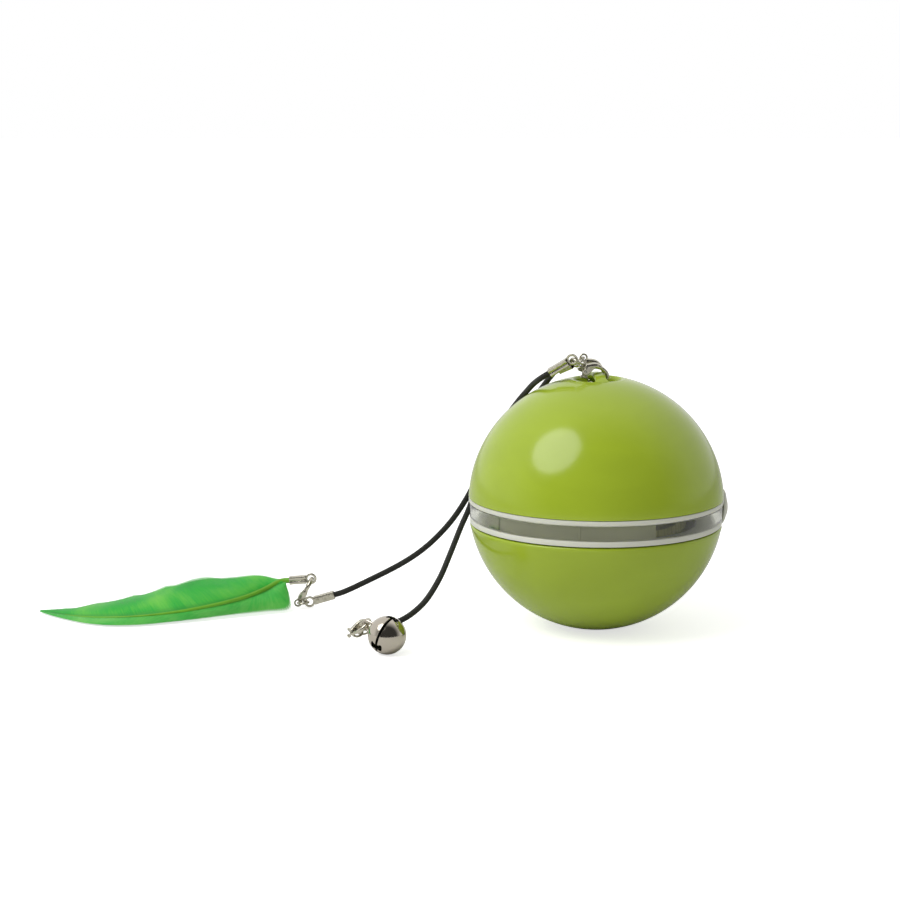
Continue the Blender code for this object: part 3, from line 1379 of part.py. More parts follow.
def bell():
    matrix = frame_up(BELL_CENTRE, BELL_AXIS, BELL_CLASP_SIDE.cross(BELL_AXIS))
    inner = BELL_RADIUS - BELL_WALL
    seam = BELL_SEAM / 2
    outer_arc = arc(BELL_RADIUS, 0, math.acos(seam / BELL_RADIUS), BELL_ARC_STEPS)
    inner_arc = arc(inner, math.acos(seam / inner), 0, BELL_ARC_STEPS)
    cap = turned_mesh("bell_cap", outer_arc + inner_arc, BELL_STEPS)
    cap = add_node("bell_cap", cap, NICKEL, matrix)

    spigot = on_sphere(inner, SPIGOT_HEIGHT) - SPIGOT_GAP
    step = math.acos(-SPIGOT_STEP / inner)
    cup_profile = [
        (spigot - SPIGOT_WALL, SPIGOT_HEIGHT),
        (spigot, SPIGOT_HEIGHT),
        (spigot, -seam),
        *arc(BELL_RADIUS, math.acos(-seam / BELL_RADIUS), math.pi, BELL_ARC_STEPS),
        *arc(inner, math.pi, step, BELL_ARC_STEPS),
        (spigot - SPIGOT_WALL, -SPIGOT_STEP),
    ]
    cup = add_node("bell_cup", turned_mesh("bell_cup", cup_profile, BELL_STEPS), NICKEL, matrix)

    for index in range(SOUND_HOLE_COUNT):
        hole = cylinder_mesh("sound_hole", SOUND_HOLE_RADIUS, 0, BELL_RADIUS + OVERRUN, 12)
        turn = Matrix.Rotation(math.tau * index / SOUND_HOLE_COUNT, 3, BELL_AXIS)
        cutter = add_cutter(
            f"sound_hole_{index + 1}",
            hole,
            frame(BELL_CENTRE, BELL_AXIS, turn @ SOUND_HOLE_AIM),
        )
        boolean(cap, cutter)
        boolean(cup, cutter)

    shoulder = BELL_RADIUS + BELL_LOOP_RISE - BELL_LOOP_RADIUS
    foot = inner - BELL_LOOP_INSIDE
    wire = [Vector((BELL_LOOP_RADIUS, 0, foot))]
    for i in range(BELL_LOOP_STEPS + 1):
        angle = math.pi * i / BELL_LOOP_STEPS
        lift = shoulder + BELL_LOOP_RADIUS * math.sin(angle)
        wire.append(Vector((BELL_LOOP_RADIUS * math.cos(angle), 0, lift)))
    wire.append(Vector((-BELL_LOOP_RADIUS, 0, foot)))
    add_node("bell_loop", tube_mesh("bell_loop", wire, BELL_LOOP_WIRE), NICKEL, matrix)
    for side in (1, -1):
        leg = cylinder_mesh("leg_hole", BELL_LOOP_WIRE + BELL_LEG_CLEARANCE, 0, BELL_RADIUS + OVERRUN, 10)
        place = matrix @ Matrix.Translation((side * BELL_LOOP_RADIUS, 0, 0))
        boolean(cap, add_cutter(f"leg_hole_{side}", leg, place))

    drop = spigot - SPIGOT_WALL - PELLET_GAP - PELLET_RADIUS
    pellet = mesh_from(
        "bell_pellet",
        lambda bm: bmesh.ops.create_uvsphere(bm, u_segments=12, v_segments=8, radius=PELLET_RADIUS),
    )
    add_node("bell_pellet", pellet, STEEL, Matrix.Translation(BELL_CENTRE - UP * drop))


# Feather


def feather(hang, wire):
    """The crimp on the quill hangs on the clasp's hook, and quill and vane are one piece."""
    start = crimp("feather_crimp", hang, wire, FEATHER_CRIMP_AIM, FEATHER_CRIMP_LENGTH, QUILL_RADIUS)
    route = [start[0], *smooth_route([start[1], start[2], *FEATHER_ROUTE], CORD_SPACING)]
    taper = QUILL_TIP_RADIUS / QUILL_RADIUS - 1
    shares = [1 + taper * i / (len(route) - 1) for i in range(len(route))]
    obj = add_node("feather", tube_mesh("feather", route, QUILL_RADIUS, shares), VANE)
    boolean(obj, vane(), "UNION")


def vane():
    """The feather's blade: a thin skin between its near edge, the quill's line and its far edge."""
    middle = (VANE_START, *FEATHER_ROUTE, VANE_TIP)
    rails = [smooth_route(rail, count=VANE_STEPS) for rail in (NEAR_EDGE, middle, FAR_EDGE)]

    def build(bm):
        rows = [[bm.verts.new(point) for point in row] for row in zip(*rails)]
        for one, two in zip(rows, rows[1:]):
            for a in range(len(one) - 1):
                bm.faces.new((one[a], one[a + 1], two[a + 1], two[a]))

    tool = add_cutter("vane_tool", mesh_from("vane", build))
    solid = tool.modifiers.new("Thickness", "SOLIDIFY")
    solid.thickness = VANE_THICKNESS
    solid.offset = 0
    return tool


def build_ball():
    pocket = button_pocket()
    upper_shell()
    lower_shell()
    upper_rim(pocket)
    lower_rim(pocket)
    light_band(stem_hole())
    light_diffuser()
    mode_button()
    tact_switch()
    carrier_tray()
    circuit_board()
    board_parts()
    cell_holder()
    cells()
    contacts()
    battery_door()
    ballast_weight()


def build_lines():
    hang, wire = feather_line()
    feather(hang, wire)
    bell_line()
    bell()


build_ball()
build_lines()
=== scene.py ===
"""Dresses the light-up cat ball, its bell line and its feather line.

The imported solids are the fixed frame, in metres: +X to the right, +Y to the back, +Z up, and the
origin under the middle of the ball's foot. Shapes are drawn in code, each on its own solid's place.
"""

import logging
import math
from collections.abc import Sequence
from dataclasses import dataclass, field
from enum import Enum

import bmesh
import bpy
from mathutils import Matrix, Vector, noise


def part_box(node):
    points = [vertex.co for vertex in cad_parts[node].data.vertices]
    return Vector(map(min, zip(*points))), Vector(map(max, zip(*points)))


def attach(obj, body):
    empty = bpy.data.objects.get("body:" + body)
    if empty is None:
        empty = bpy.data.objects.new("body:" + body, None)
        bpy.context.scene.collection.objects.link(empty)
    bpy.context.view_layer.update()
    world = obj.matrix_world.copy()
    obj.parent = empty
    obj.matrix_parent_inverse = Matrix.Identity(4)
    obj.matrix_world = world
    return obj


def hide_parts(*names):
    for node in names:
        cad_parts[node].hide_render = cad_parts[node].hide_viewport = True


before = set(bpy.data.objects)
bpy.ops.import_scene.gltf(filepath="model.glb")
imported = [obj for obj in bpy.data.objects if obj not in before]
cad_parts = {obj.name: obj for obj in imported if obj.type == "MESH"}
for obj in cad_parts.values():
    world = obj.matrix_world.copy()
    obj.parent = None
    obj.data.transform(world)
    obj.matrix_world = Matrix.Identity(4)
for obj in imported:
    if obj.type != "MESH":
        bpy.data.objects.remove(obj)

LOG = logging.getLogger("cat_ball")
MM = 0.001
UP = Vector((0, 0, 1))
WELD = 0.002 * MM
TOUCHING = 1e-6
ROUND_STEPS = 128
LENGTHWISE_STEPS = 120

# In millimetres: from a clasp's eye to the middle of its hook's round end, and on to its wire
CLASP_REACH = 5.4
HOOK_BEND = 2.175


class Body(Enum):
    """The moving bodies of the record."""

    BASE = "base"
    CAP = "cap"
    BUTTON = "button"
    BELL_LINE = "bell_line"
    BELL_HOOK_LEVER = "bell_hook_lever"
    BELL_CLASP_LEVER = "bell_clasp_lever"
    FEATHER_LINE = "feather_line"
    FEATHER_HOOK_LEVER = "feather_hook_lever"
    FEATHER_CLASP_LEVER = "feather_clasp_lever"
    FEATHER_END = "feather_end"
    BELL = "bell"
    PELLET = "pellet"


class Slot(Enum):
    """The record's material slots, one passed along with each new piece."""

    LIME = "lime_plastic"
    WHITE = "white_plastic"
    CLEAR = "clear_plastic"
    FROSTED = "frosted_plastic"
    STEEL = "steel"
    NICKEL = "polished_nickel"
    SILVER = "silver_plate"
    CORD = "waxed_cord"
    FEATHER = "green_feather"


def mm(*numbers: float) -> Vector:
    """A point or a direction typed in millimetres."""
    return Vector(numbers) * MM


def typed(rows: Sequence[tuple[float, float, float]]) -> list[Vector]:
    """Points typed in millimetres."""
    return [mm(*row) for row in rows]


def outlined(rows: Sequence[tuple[float, float]]) -> list[tuple[float, float]]:
    """Corners of a flat outline typed in millimetres."""
    return [(x * MM, y * MM) for x, y in rows]


def circle(radius: float, turns: Sequence[float]) -> list[Vector]:
    """Points on a circle round Z, at the angles given."""
    return [Vector((math.cos(turn), math.sin(turn), 0)) * radius for turn in turns]


def linear(red: float, green: float, blue: float) -> tuple[float, float, float, float]:
    """Turn a colour as it is seen, from 0 to 255, into the light that a shader takes."""
    parts = []
    for value in (red, green, blue):
        share = value / 255
        parts.append(share / 12.92 if share <= 0.04045 else ((share + 0.055) / 1.055) ** 2.4)
    return (*parts, 1.0)


# The bench: small hand tools that the classes below share


def put_down() -> None:
    """Leave edit mode with nothing selected."""
    if bpy.context.mode != "OBJECT":
        bpy.ops.object.mode_set(mode="OBJECT")
    bpy.ops.object.select_all(action="DESELECT")


def pick(*pieces: bpy.types.Object) -> None:
    """Select these pieces alone, the first of them active."""
    put_down()
    for piece in pieces:
        piece.select_set(True)
    bpy.context.view_layer.objects.active = pieces[0]


def named(piece: bpy.types.Object, name: str) -> bpy.types.Object:
    """Give a piece and its mesh one name."""
    piece.name = name
    piece.data.name = name
    return piece


def take_edit(piece: bpy.types.Object) -> None:
    """Go into edit mode on one piece with all of it selected."""
    pick(piece)
    bpy.ops.object.mode_set(mode="EDIT")
    bpy.ops.mesh.select_all(action="SELECT")


def weld(piece: bpy.types.Object) -> None:
    """Merge the doubles of a piece and turn its faces outwards."""
    take_edit(piece)
    bpy.ops.mesh.remove_doubles(threshold=WELD)
    bpy.ops.mesh.select_all(action="SELECT")
    bpy.ops.mesh.normals_make_consistent(inside=False)
    put_down()


def smooth(piece: bpy.types.Object, degrees: float = 35) -> None:
    """Shade a piece smooth, with its sharper edges kept."""
    pick(piece)
    bpy.ops.object.shade_smooth_by_angle(angle=math.radians(degrees))
    put_down()


def modify(piece: bpy.types.Object, kind: str, **settings: object) -> None:
    """Add one modifier to a piece and apply it.

    Args:
        piece: the piece that it changes.
        kind: Blender's name of the modifier.
        settings: the modifier's own settings.
    """
    pick(piece)
    modifier = piece.modifiers.new(kind.title(), kind)
    for key, value in settings.items():
        setattr(modifier, key, value)
    bpy.ops.object.modifier_apply(modifier=modifier.name)
    put_down()


def bevel(piece: bpy.types.Object, width: float, segments: int, every: bool = False) -> None:
    """Round the sharp edges of a piece, or every one."""
    limit = "NONE" if every else "ANGLE"
    modify(piece, "BEVEL", width=width, segments=segments, limit_method=limit)


def settle(piece: bpy.types.Object, matrix: Matrix) -> bpy.types.Object:
    """Put a piece in its place in its mesh, with its object left at the origin."""
    piece.data.transform(matrix)
    piece.data.update()
    return piece


def join(pieces: Sequence[bpy.types.Object], name: str) -> bpy.types.Object:
    """Join pieces into the first of them."""
    if len(pieces) > 1:
        pick(*pieces)
        bpy.ops.object.join()
    put_down()
    return named(pieces[0], name)


def cut(piece: bpy.types.Object, cutter: bpy.types.Object) -> None:
    """Cut a piece with another one, which is then thrown away."""
    modify(piece, "BOOLEAN", object=cutter, operation="DIFFERENCE", solver="EXACT")
    bpy.data.objects.remove(cutter, do_unlink=True)


def traced(name: str, points: Sequence[Vector]) -> bpy.types.Object:
    """Draw a line from point to point by extruding one vertex.

    Args:
        name: name of the piece.
        points: the points in turn.

    Returns:
        The piece, a row of edges.
    """
    put_down()
    bpy.ops.mesh.primitive_plane_add(size=MM, location=(0, 0, 0))
    line = named(bpy.context.active_object, name)
    bpy.ops.object.mode_set(mode="EDIT")
    bpy.ops.mesh.merge(type="CENTER")
    bpy.ops.transform.translate(value=points[0])
    for here, there in zip(points, points[1:]):
        bpy.ops.mesh.extrude_vertices_move(TRANSFORM_OT_translate={"value": there - here})
    put_down()
    return line


def turned(
    name: str,
    profile: Sequence[tuple[float, float]],
    steps: int = ROUND_STEPS,
    sweep: float = math.tau,
) -> bpy.types.Object:
    """Spin a profile about Z, as on a lathe.

    Args:
        name: name of the piece.
        profile: radius and height of each point.
        steps: steps round the whole sweep.
        sweep: angle of the sweep.

    Returns:
        The turned piece, about the origin.
    """
    piece = traced(name, [Vector((radius, 0, height)) for radius, height in profile])
    take_edit(piece)
    bpy.ops.mesh.spin(steps=steps, angle=sweep, center=(0, 0, 0), axis=(0, 0, 1))
    weld(piece)
    return piece


def slab(
    name: str, outline: Sequence[tuple[float, float]], low: float, high: float
) -> bpy.types.Object:
    """Draw a closed outline in X and Y, fill it and extrude it along Z.

    Args:
        name: name of the piece.
        outline: the corners in turn.
        low: height of its lower face.
        high: height of its upper face.

    Returns:
        The slab.
    """
    corners = [Vector((x, y, low)) for x, y in outline]
    piece = traced(name, [*corners, corners[0]])
    take_edit(piece)
    bpy.ops.mesh.remove_doubles(threshold=TOUCHING)
    bpy.ops.mesh.select_all(action="SELECT")
    bpy.ops.mesh.edge_face_add()
    bpy.ops.mesh.extrude_region_move(TRANSFORM_OT_translate={"value": (0, 0, high - low)})
    weld(piece)
    return piece


def wire(
    name: str,
    points: Sequence[Vector],
    radius: float,
    shares: Sequence[float] | None = None,
    closed: bool = False,
    roundness: int = 4,
) -> bpy.types.Object:
    """Bend a round wire along points.

    Args:
        name: name of the piece.
        points: the points that its middle follows.
        radius: its radius.
        shares: the radius at each point as a share of that.
        closed: whether its end joins its start.
        roundness: how finely its section is rounded.

    Returns:
        The wire as a mesh.
    """
    put_down()
    bpy.ops.curve.primitive_nurbs_path_add(location=(0, 0, 0))
    piece = named(bpy.context.active_object, name)
    curve = piece.data
    curve.splines.clear()
    curve.bevel_depth = radius
    curve.bevel_resolution = roundness
    curve.use_fill_caps = not closed
    spline = curve.splines.new("POLY")
    spline.points.add(len(points) - 1)
    for index, (knot, point) in enumerate(zip(spline.points, points)):
        knot.co = (*point, 1)
        knot.radius = 1 if shares is None else shares[index]
    spline.use_cyclic_u = closed
    pick(piece)
    bpy.ops.object.convert(target="MESH")
    piece = named(bpy.context.active_object, name)
    return piece


def block(name: str, low: Vector, high: Vector, edge: float = 0.0) -> bpy.types.Object:
    """A box from corner to corner with its edges rounded.

    Args:
        name: name of the piece.
        low: its lowest corner.
        high: its highest corner.
        edge: radius of its edges.

    Returns:
        The box.
    """
    put_down()
    bpy.ops.mesh.primitive_cube_add(size=1, location=(0, 0, 0))
    piece = named(bpy.context.active_object, name)
    size = high - low
    settle(piece, Matrix.Translation((low + high) / 2) @ Matrix.Diagonal((*size, 1)))
    if edge:
        bevel(piece, edge, 3, every=True)
    return piece


def rod(name: str, radius: float, base: float, top: float, sides: int = 32) -> bpy.types.Object:
    """A plain upright cylinder, as a cutter or as a start."""
    put_down()
    bpy.ops.mesh.primitive_cylinder_add(
        vertices=sides, radius=radius, depth=top - base, location=(0, 0, (top + base) / 2)
    )
    piece = named(bpy.context.active_object, name)
    bpy.ops.object.transform_apply(location=True, rotation=True, scale=True)
    put_down()
    return piece


def arc(radius: float, start: float, end: float, steps: int) -> list[tuple[float, float]]:
    """Points on a sphere's outline, by angles from its top."""
    angles = [start + (end - start) * i / steps for i in range(steps + 1)]
    return [(radius * math.sin(a), radius * math.cos(a)) for a in angles]


def corner(
    middle: tuple[float, float], radius: float, start: float, end: float, steps: int = 4
) -> list[tuple[float, float]]:
    """Points round a corner of a profile.

    Args:
        middle: radius and height of the corner's middle.
        radius: radius of the corner.
        start: angle of its first point in degrees, from outwards towards up.
        end: angle of its last point.
        steps: steps between them.

    Returns:
        The points in turn.
    """
    turns = [math.radians(start + (end - start) * i / steps) for i in range(steps + 1)]
    return [(middle[0] + radius * math.cos(a), middle[1] + radius * math.sin(a)) for a in turns]


def on_sphere(radius: float, across: float) -> float:
    """Height of a sphere over a distance from its axis."""
    return math.sqrt(radius**2 - across**2)


def along(origin: Vector, x_axis: Vector, z_hint: Vector) -> Matrix:
    """A place with X along one direction and Z as near as can be to another."""
    x = x_axis.normalized()
    z = (z_hint - z_hint.dot(x) * x).normalized()
    return Matrix.Translation(origin) @ Matrix((x, z.cross(x), z)).transposed().to_4x4()


def upright(origin: Vector, z_axis: Vector, x_hint: Vector) -> Matrix:
    """A place with Z along one direction and X as near as can be to another."""
    z = z_axis.normalized()
    y = z.cross(x_hint).normalized()
    return Matrix.Translation(origin) @ Matrix((y.cross(z), y, z)).transposed().to_4x4()


def smooth_route(
    points: Sequence[Vector], spacing: float | None = None, count: int | None = None
) -> list[Vector]:
    """Run a smooth curve through points and mark it off in even steps.

    Args:
        points: the points that it passes.
        spacing: about how far apart its steps are, or else
        count: how many steps it has.

    Returns:
        The ends of its steps.
    """
    knots = [Vector(point) for point in points]
    padded = [2 * knots[0] - knots[1], *knots, 2 * knots[-1] - knots[-2]]
    fine = [knots[0]]
    for a, b, c, d in zip(padded, padded[1:], padded[2:], padded[3:]):
        ta = 0.0
        tb = ta + math.sqrt((b - a).length)
        tc = tb + math.sqrt((c - b).length)
        td = tc + math.sqrt((d - c).length)
        for step in range(1, 17):
            t = tb + (tc - tb) * step / 16
            ab = a.lerp(b, (t - ta) / (tb - ta))
            bc = b.lerp(c, (t - tb) / (tc - tb))
            cd = c.lerp(d, (t - tc) / (td - tc))
            abc = ab.lerp(bc, (t - ta) / (tc - ta))
            bcd = bc.lerp(cd, (t - tb) / (td - tb))
            fine.append(abc.lerp(bcd, (t - tb) / (tc - tb)))
    lengths = [0.0]
    for here, there in zip(fine, fine[1:]):
        lengths.append(lengths[-1] + (there - here).length)
    steps = count or max(2, round(lengths[-1] / (spacing or MM)))
    spaced = []
    index = 0
    for i in range(steps + 1):
        want = lengths[-1] * i / steps
        while index < len(lengths) - 2 and lengths[index + 1] < want:
            index += 1
        span = lengths[index + 1] - lengths[index]
        spaced.append(fine[index].lerp(fine[index + 1], (want - lengths[index]) / span))
    return spaced


def length_of(points: Sequence[Vector]) -> float:
    """Length of a line through points."""
    return sum((there - here).length for here, there in zip(points, points[1:]))


# Finishes


class Wiring:
    """The nodes of one tree, added and wired one after another."""

    def __init__(self, tree: bpy.types.NodeTree) -> None:
        """Take up a tree."""
        self.nodes = tree.nodes
        self.links = tree.links

    def fill(self, socket: bpy.types.NodeSocket, value: object) -> None:
        """Wire a socket from another one, or set its number or colour."""
        if isinstance(value, bpy.types.NodeSocket):
            self.links.new(value, socket)
        else:
            socket.default_value = value

    def add(
        self, kind: str, sockets: dict[str | int, object] | None = None, **settings: object
    ) -> bpy.types.Node:
        """Add a node of a kind.

        Args:
            kind: Blender's name of the node without its usual start.
            sockets: a number, a colour or another node's socket for each input.
            settings: the node's own settings.

        Returns:
            The node.
        """
        node = self.nodes.new(f"ShaderNode{kind}")
        for key, value in settings.items():
            setattr(node, key, value)
        for key, value in (sockets or {}).items():
            self.fill(node.inputs[key], value)
        return node


class Paints(Wiring):
    """The nodes of one material round a plain Principled shader."""

    def __init__(self, name: str) -> None:
        """Start a material."""
        self.material = bpy.data.materials.new(name)
        self.material.use_nodes = True
        super().__init__(self.material.node_tree)
        self.shader = self.nodes["Principled BSDF"]

    def set(self, **values: object) -> None:
        """Fill the shader's own sockets, with an underscore for a space in a name."""
        for key, value in values.items():
            self.fill(self.shader.inputs[key.replace("_", " ")], value)

    def place(self, scale: Sequence[float], uv: bool = False) -> bpy.types.NodeSocket:
        """Where a pattern reads from.

        Args:
            scale: how many pattern units go into a metre, or into the whole UV map.
            uv: whether the pattern follows the piece's own UV map.

        Returns:
            The socket of the scaled place.
        """
        source = self.add("TexCoord").outputs["UV" if uv else "Object"]
        return self.add("Mapping", {"Scale": scale, "Vector": source}).outputs["Vector"]

    def cloud(
        self,
        scale: Sequence[float],
        detail: float,
        rough: float = 0.5,
        warp: float = 0,
        uv: bool = False,
    ) -> bpy.types.NodeSocket:
        """A soft random pattern.

        Args:
            scale: how many pattern units go into a metre, or into the whole UV map.
            detail: how many finer layers it has.
            rough: how strong those are.
            warp: how far it is distorted.
            uv: whether it follows the piece's own UV map.

        Returns:
            The pattern, from 0 to 1.
        """
        sockets = {"Scale": 1, "Detail": detail, "Roughness": rough, "Distortion": warp}
        return self.add("TexNoise", {**sockets, "Vector": self.place(scale, uv)}).outputs["Fac"]

    def bands(self, scale: Sequence[float], direction: str, warp: float) -> bpy.types.NodeSocket:
        """Parallel bands on the piece's own UV map.

        Args:
            scale: how many pattern units go into the whole UV map.
            direction: Blender's name of the way that they follow each other.
            warp: how far they are distorted.

        Returns:
            The pattern, from 0 to 1.
        """
        place = self.place(scale, uv=True)
        sockets = {"Scale": 1, "Distortion": warp, "Detail": 2, "Vector": place}
        node = self.add("TexWave", sockets, wave_type="BANDS", bands_direction=direction)
        return node.outputs["Fac"]

    def ramp(
        self, share: bpy.types.NodeSocket, stops: Sequence[tuple[float, Sequence[float]]]
    ) -> bpy.types.NodeSocket:
        """Turn a share into colours.

        Args:
            share: the share that picks the colour.
            stops: a share and its colour, as it is seen, for each stop.

        Returns:
            The colour.
        """
        node = self.add("ValToRGB", {"Fac": share})
        elements = node.color_ramp.elements
        while len(elements) < len(stops):
            elements.new(0.5)
        for element, (position, colour) in zip(elements, stops):
            element.position = position
            element.color = linear(*colour)
        return node.outputs["Color"]

    def between(self, share: bpy.types.NodeSocket, low: float, high: float) -> bpy.types.NodeSocket:
        """Spread a share between two numbers."""
        sockets = {"From Min": 0.25, "From Max": 0.75, "To Min": low, "To Max": high}
        return self.add("MapRange", {**sockets, "Value": share}).outputs["Result"]

    def sum(
        self, one: bpy.types.NodeSocket, two: bpy.types.NodeSocket, share: float
    ) -> bpy.types.NodeSocket:
        """One pattern and a share of another."""
        return self.add("Math", {0: two, 1: share, 2: one}, operation="MULTIPLY_ADD").outputs[0]

    def relief(self, height: bpy.types.NodeSocket, depth: float, strength: float = 1.0) -> None:
        """Emboss the surface with a pattern.

        Args:
            height: the pattern.
            depth: how far in metres it stands out.
            strength: how much of it shows.
        """
        sockets = {"Distance": depth, "Strength": strength, "Height": height}
        self.set(Normal=self.add("Bump", sockets).outputs["Normal"])


@dataclass(frozen=True)
class Plastic:
    """A moulded plastic with faint flow marks and fine handling marks.

    Attributes:
        name: name of the finish.
        tone: its colour as it is seen.
        drift: how far its colour drifts from place to place.
        gloss: its lowest and highest roughness.
        grain: size of its surface grain.
        depth: depth of that grain.
        clear: how much light it lets through.
        inner: how much light spreads inside it.
        ior: its index of refraction.
    """

    name: str
    tone: tuple[float, float, float]
    drift: float = 0.03
    gloss: tuple[float, float] = (0.2, 0.3)
    grain: float = 0.35 * MM
    depth: float = 0.004 * MM
    clear: float = 0.0
    inner: float = 0.0
    ior: float = 1.46

    def make(self) -> bpy.types.Material:
        """Mix the finish."""
        paints = Paints(self.name)
        dark = [part * (1 - self.drift) for part in self.tone]
        light = [min(255, part * (1 + self.drift)) for part in self.tone]
        flow = paints.cloud([70, 70, 130], detail=4, warp=0.6)
        marks = paints.cloud([900, 900, 260], detail=5, rough=0.7, warp=1.5)
        paints.set(
            IOR=self.ior,
            Transmission_Weight=self.clear,
            Base_Color=paints.ramp(flow, [(0.3, dark), (0.55, self.tone), (0.75, light)]),
            Roughness=paints.between(marks, *self.gloss),
        )
        if self.inner:
            paints.set(Subsurface_Weight=self.inner, Subsurface_Radius=(1.0, 1.0, 0.5))
            paints.set(Subsurface_Scale=1.2 * MM)
        paints.relief(paints.cloud([1 / self.grain] * 3, detail=2), self.depth)
        return paints.material


@dataclass(frozen=True)
class Metal:
    """A plated or drawn metal with hairline scratches and darker patches of dulling and painted
    dark reflection.

    Attributes:
        name: name of the finish.
        tone: its colour as it is seen.
        stain_and_dark_reflection: its darker colour, where it has dulled and, on the silver plate,
            also painted dark reflection.
        gloss: its lowest and highest roughness.
        hammer: size of the unevenness of its surface.
        depth: depth of that unevenness.
        darkened: how much of it takes that darker colour.
    """

    name: str
    tone: tuple[float, float, float]
    stain_and_dark_reflection: tuple[float, float, float]
    gloss: tuple[float, float] = (0.08, 0.25)
    hammer: float = 1.2 * MM
    depth: float = 0.01 * MM
    darkened: float = 0.35

    def make(self) -> bpy.types.Material:
        """Mix the finish."""
        paints = Paints(self.name)
        patches = paints.cloud([600] * 3, detail=5, rough=0.65, warp=0.8)
        hairs = paints.cloud([2600, 700, 5200], detail=4, rough=0.8)
        dents = paints.cloud([1 / self.hammer] * 3, detail=2)
        stops = [(0.3, self.tone), (1 - self.darkened, self.tone), (0.95, self.stain_and_dark_reflection)]
        paints.set(
            Metallic=1.0,
            Base_Color=paints.ramp(patches, stops),
            Roughness=paints.between(paints.sum(hairs, patches, 0.4), *self.gloss),
        )
        paints.relief(paints.sum(dents, hairs, 0.12), self.depth)
        return paints.material


@dataclass(frozen=True)
class WaxedThread:
    """Wound and waxed cotton, ribbed along the cord by its own UV map.

    Attributes:
        name: name of the finish.
        tone: its colour as it is seen.
        wax: its lighter colour, a painted sheen where the wax would catch the light.
        turns: how many windings go into the whole cord.
    """

    name: str
    tone: tuple[float, float, float]
    wax: tuple[float, float, float]
    turns: float

    def make(self) -> bpy.types.Material:
        """Mix the finish."""
        paints = Paints(self.name)
        weave = paints.bands([self.turns, 3, 1], "DIAGONAL", 1.2)
        fuzz = paints.cloud([5200] * 3, detail=4, rough=0.7)
        wear_and_sheen = paints.cloud([420] * 3, detail=3)
        # The wax colour is a painted sheen, laid over the cord by noise, weave and fuzz; its large
        # patches are partly wear and partly that painted sheen.
        mixed = paints.sum(paints.sum(wear_and_sheen, weave, 0.12), fuzz, 0.25)
        paints.set(
            Base_Color=paints.ramp(mixed, [(0.35, self.tone), (0.8, self.wax)]),
            Roughness=paints.between(fuzz, 0.55, 0.8),
            Sheen_Weight=0.06,
            Sheen_Roughness=0.5,
            IOR=1.4,
        )
        paints.relief(paints.sum(fuzz, weave, 0.8), 0.05 * MM, 0.8)
        return paints.material


@dataclass(frozen=True)
class DyedVane:
    """The barbs of a dyed feather, streaked along each barb.

    Attributes:
        name: name of the finish.
        deep: its colour where the dye is deepest.
        tone: its usual colour.
        pale: its colour in its paler, warmer patches.
        barbs: how many barbs the UV map is divided into.
        root: how bright the painted shadow beside the quill leaves the vane, as a share.
    """

    name: str
    deep: tuple[float, float, float]
    tone: tuple[float, float, float]
    pale: tuple[float, float, float]
    barbs: int
    root: float = 0.8

    def make(self) -> bpy.types.Material:
        """Mix the finish."""
        paints = Paints(self.name)
        streaks = paints.cloud([self.barbs * 0.8, 2.2, 1], detail=3, rough=0.6, uv=True)
        patches = paints.cloud([55, 70, 70], detail=2, warp=0.5)
        ridges = paints.bands([self.barbs * 1.2, 1, 1], "X", 0.6)
        stops = [(0.42, self.deep), (0.62, self.tone), (0.88, self.pale)]
        # Painted shadow: the vane is darkened beside the quill, where the quill's shade falls.
        quill_shadow = [(0.0, [255 * self.root] * 3), (0.16, (255, 255, 255))]
        out = paints.add("SeparateXYZ", {0: paints.place([1, 1, 1], uv=True)}).outputs["Y"]
        layers = {
            "Factor": 1,
            "A": paints.ramp(paints.sum(patches, streaks, 0.35), stops),
            "B": paints.ramp(out, quill_shadow),
        }
        # The dye colours multiplied by the painted shadow beside the quill.
        dyed = paints.add("Mix", layers, data_type="RGBA", blend_type="MULTIPLY")
        paints.set(
            Base_Color=dyed.outputs["Result"],
            Roughness=paints.between(streaks, 0.45, 0.65),
            Sheen_Weight=0.2,
            Sheen_Roughness=0.4,
            IOR=1.45,
        )
        paints.relief(paints.sum(ridges, streaks, 0.7), 0.05 * MM, 0.6)
        return paints.material


@dataclass(frozen=True)
class BoardLaminate:
    """A lacquered circuit board with a faint weave and pale tracks."""

    name: str = "board_laminate"

    def make(self) -> bpy.types.Material:
        """Mix the finish."""
        paints = Paints(self.name)
        sockets = {
            "Vector": paints.place([260] * 3),
            "Scale": 1,
            "Mortar Size": 0.06,
            # Painted light: the board is mixed in pale olive tones so that the dark inside seen
            # through the sleeve's open stretch looks lit like the lime shell.
            "Color1": linear(150, 152, 72),
            "Color2": linear(158, 160, 80),
            "Mortar": linear(184, 184, 110),
        }
        tracks = paints.add("TexBrick", sockets).outputs
        weave = paints.cloud([2400] * 3, detail=3)
        paints.set(Base_Color=tracks["Color"], Roughness=paints.between(weave, 0.25, 0.4))
        paints.relief(tracks["Fac"], 0.03 * MM, 0.6)
        return paints.material


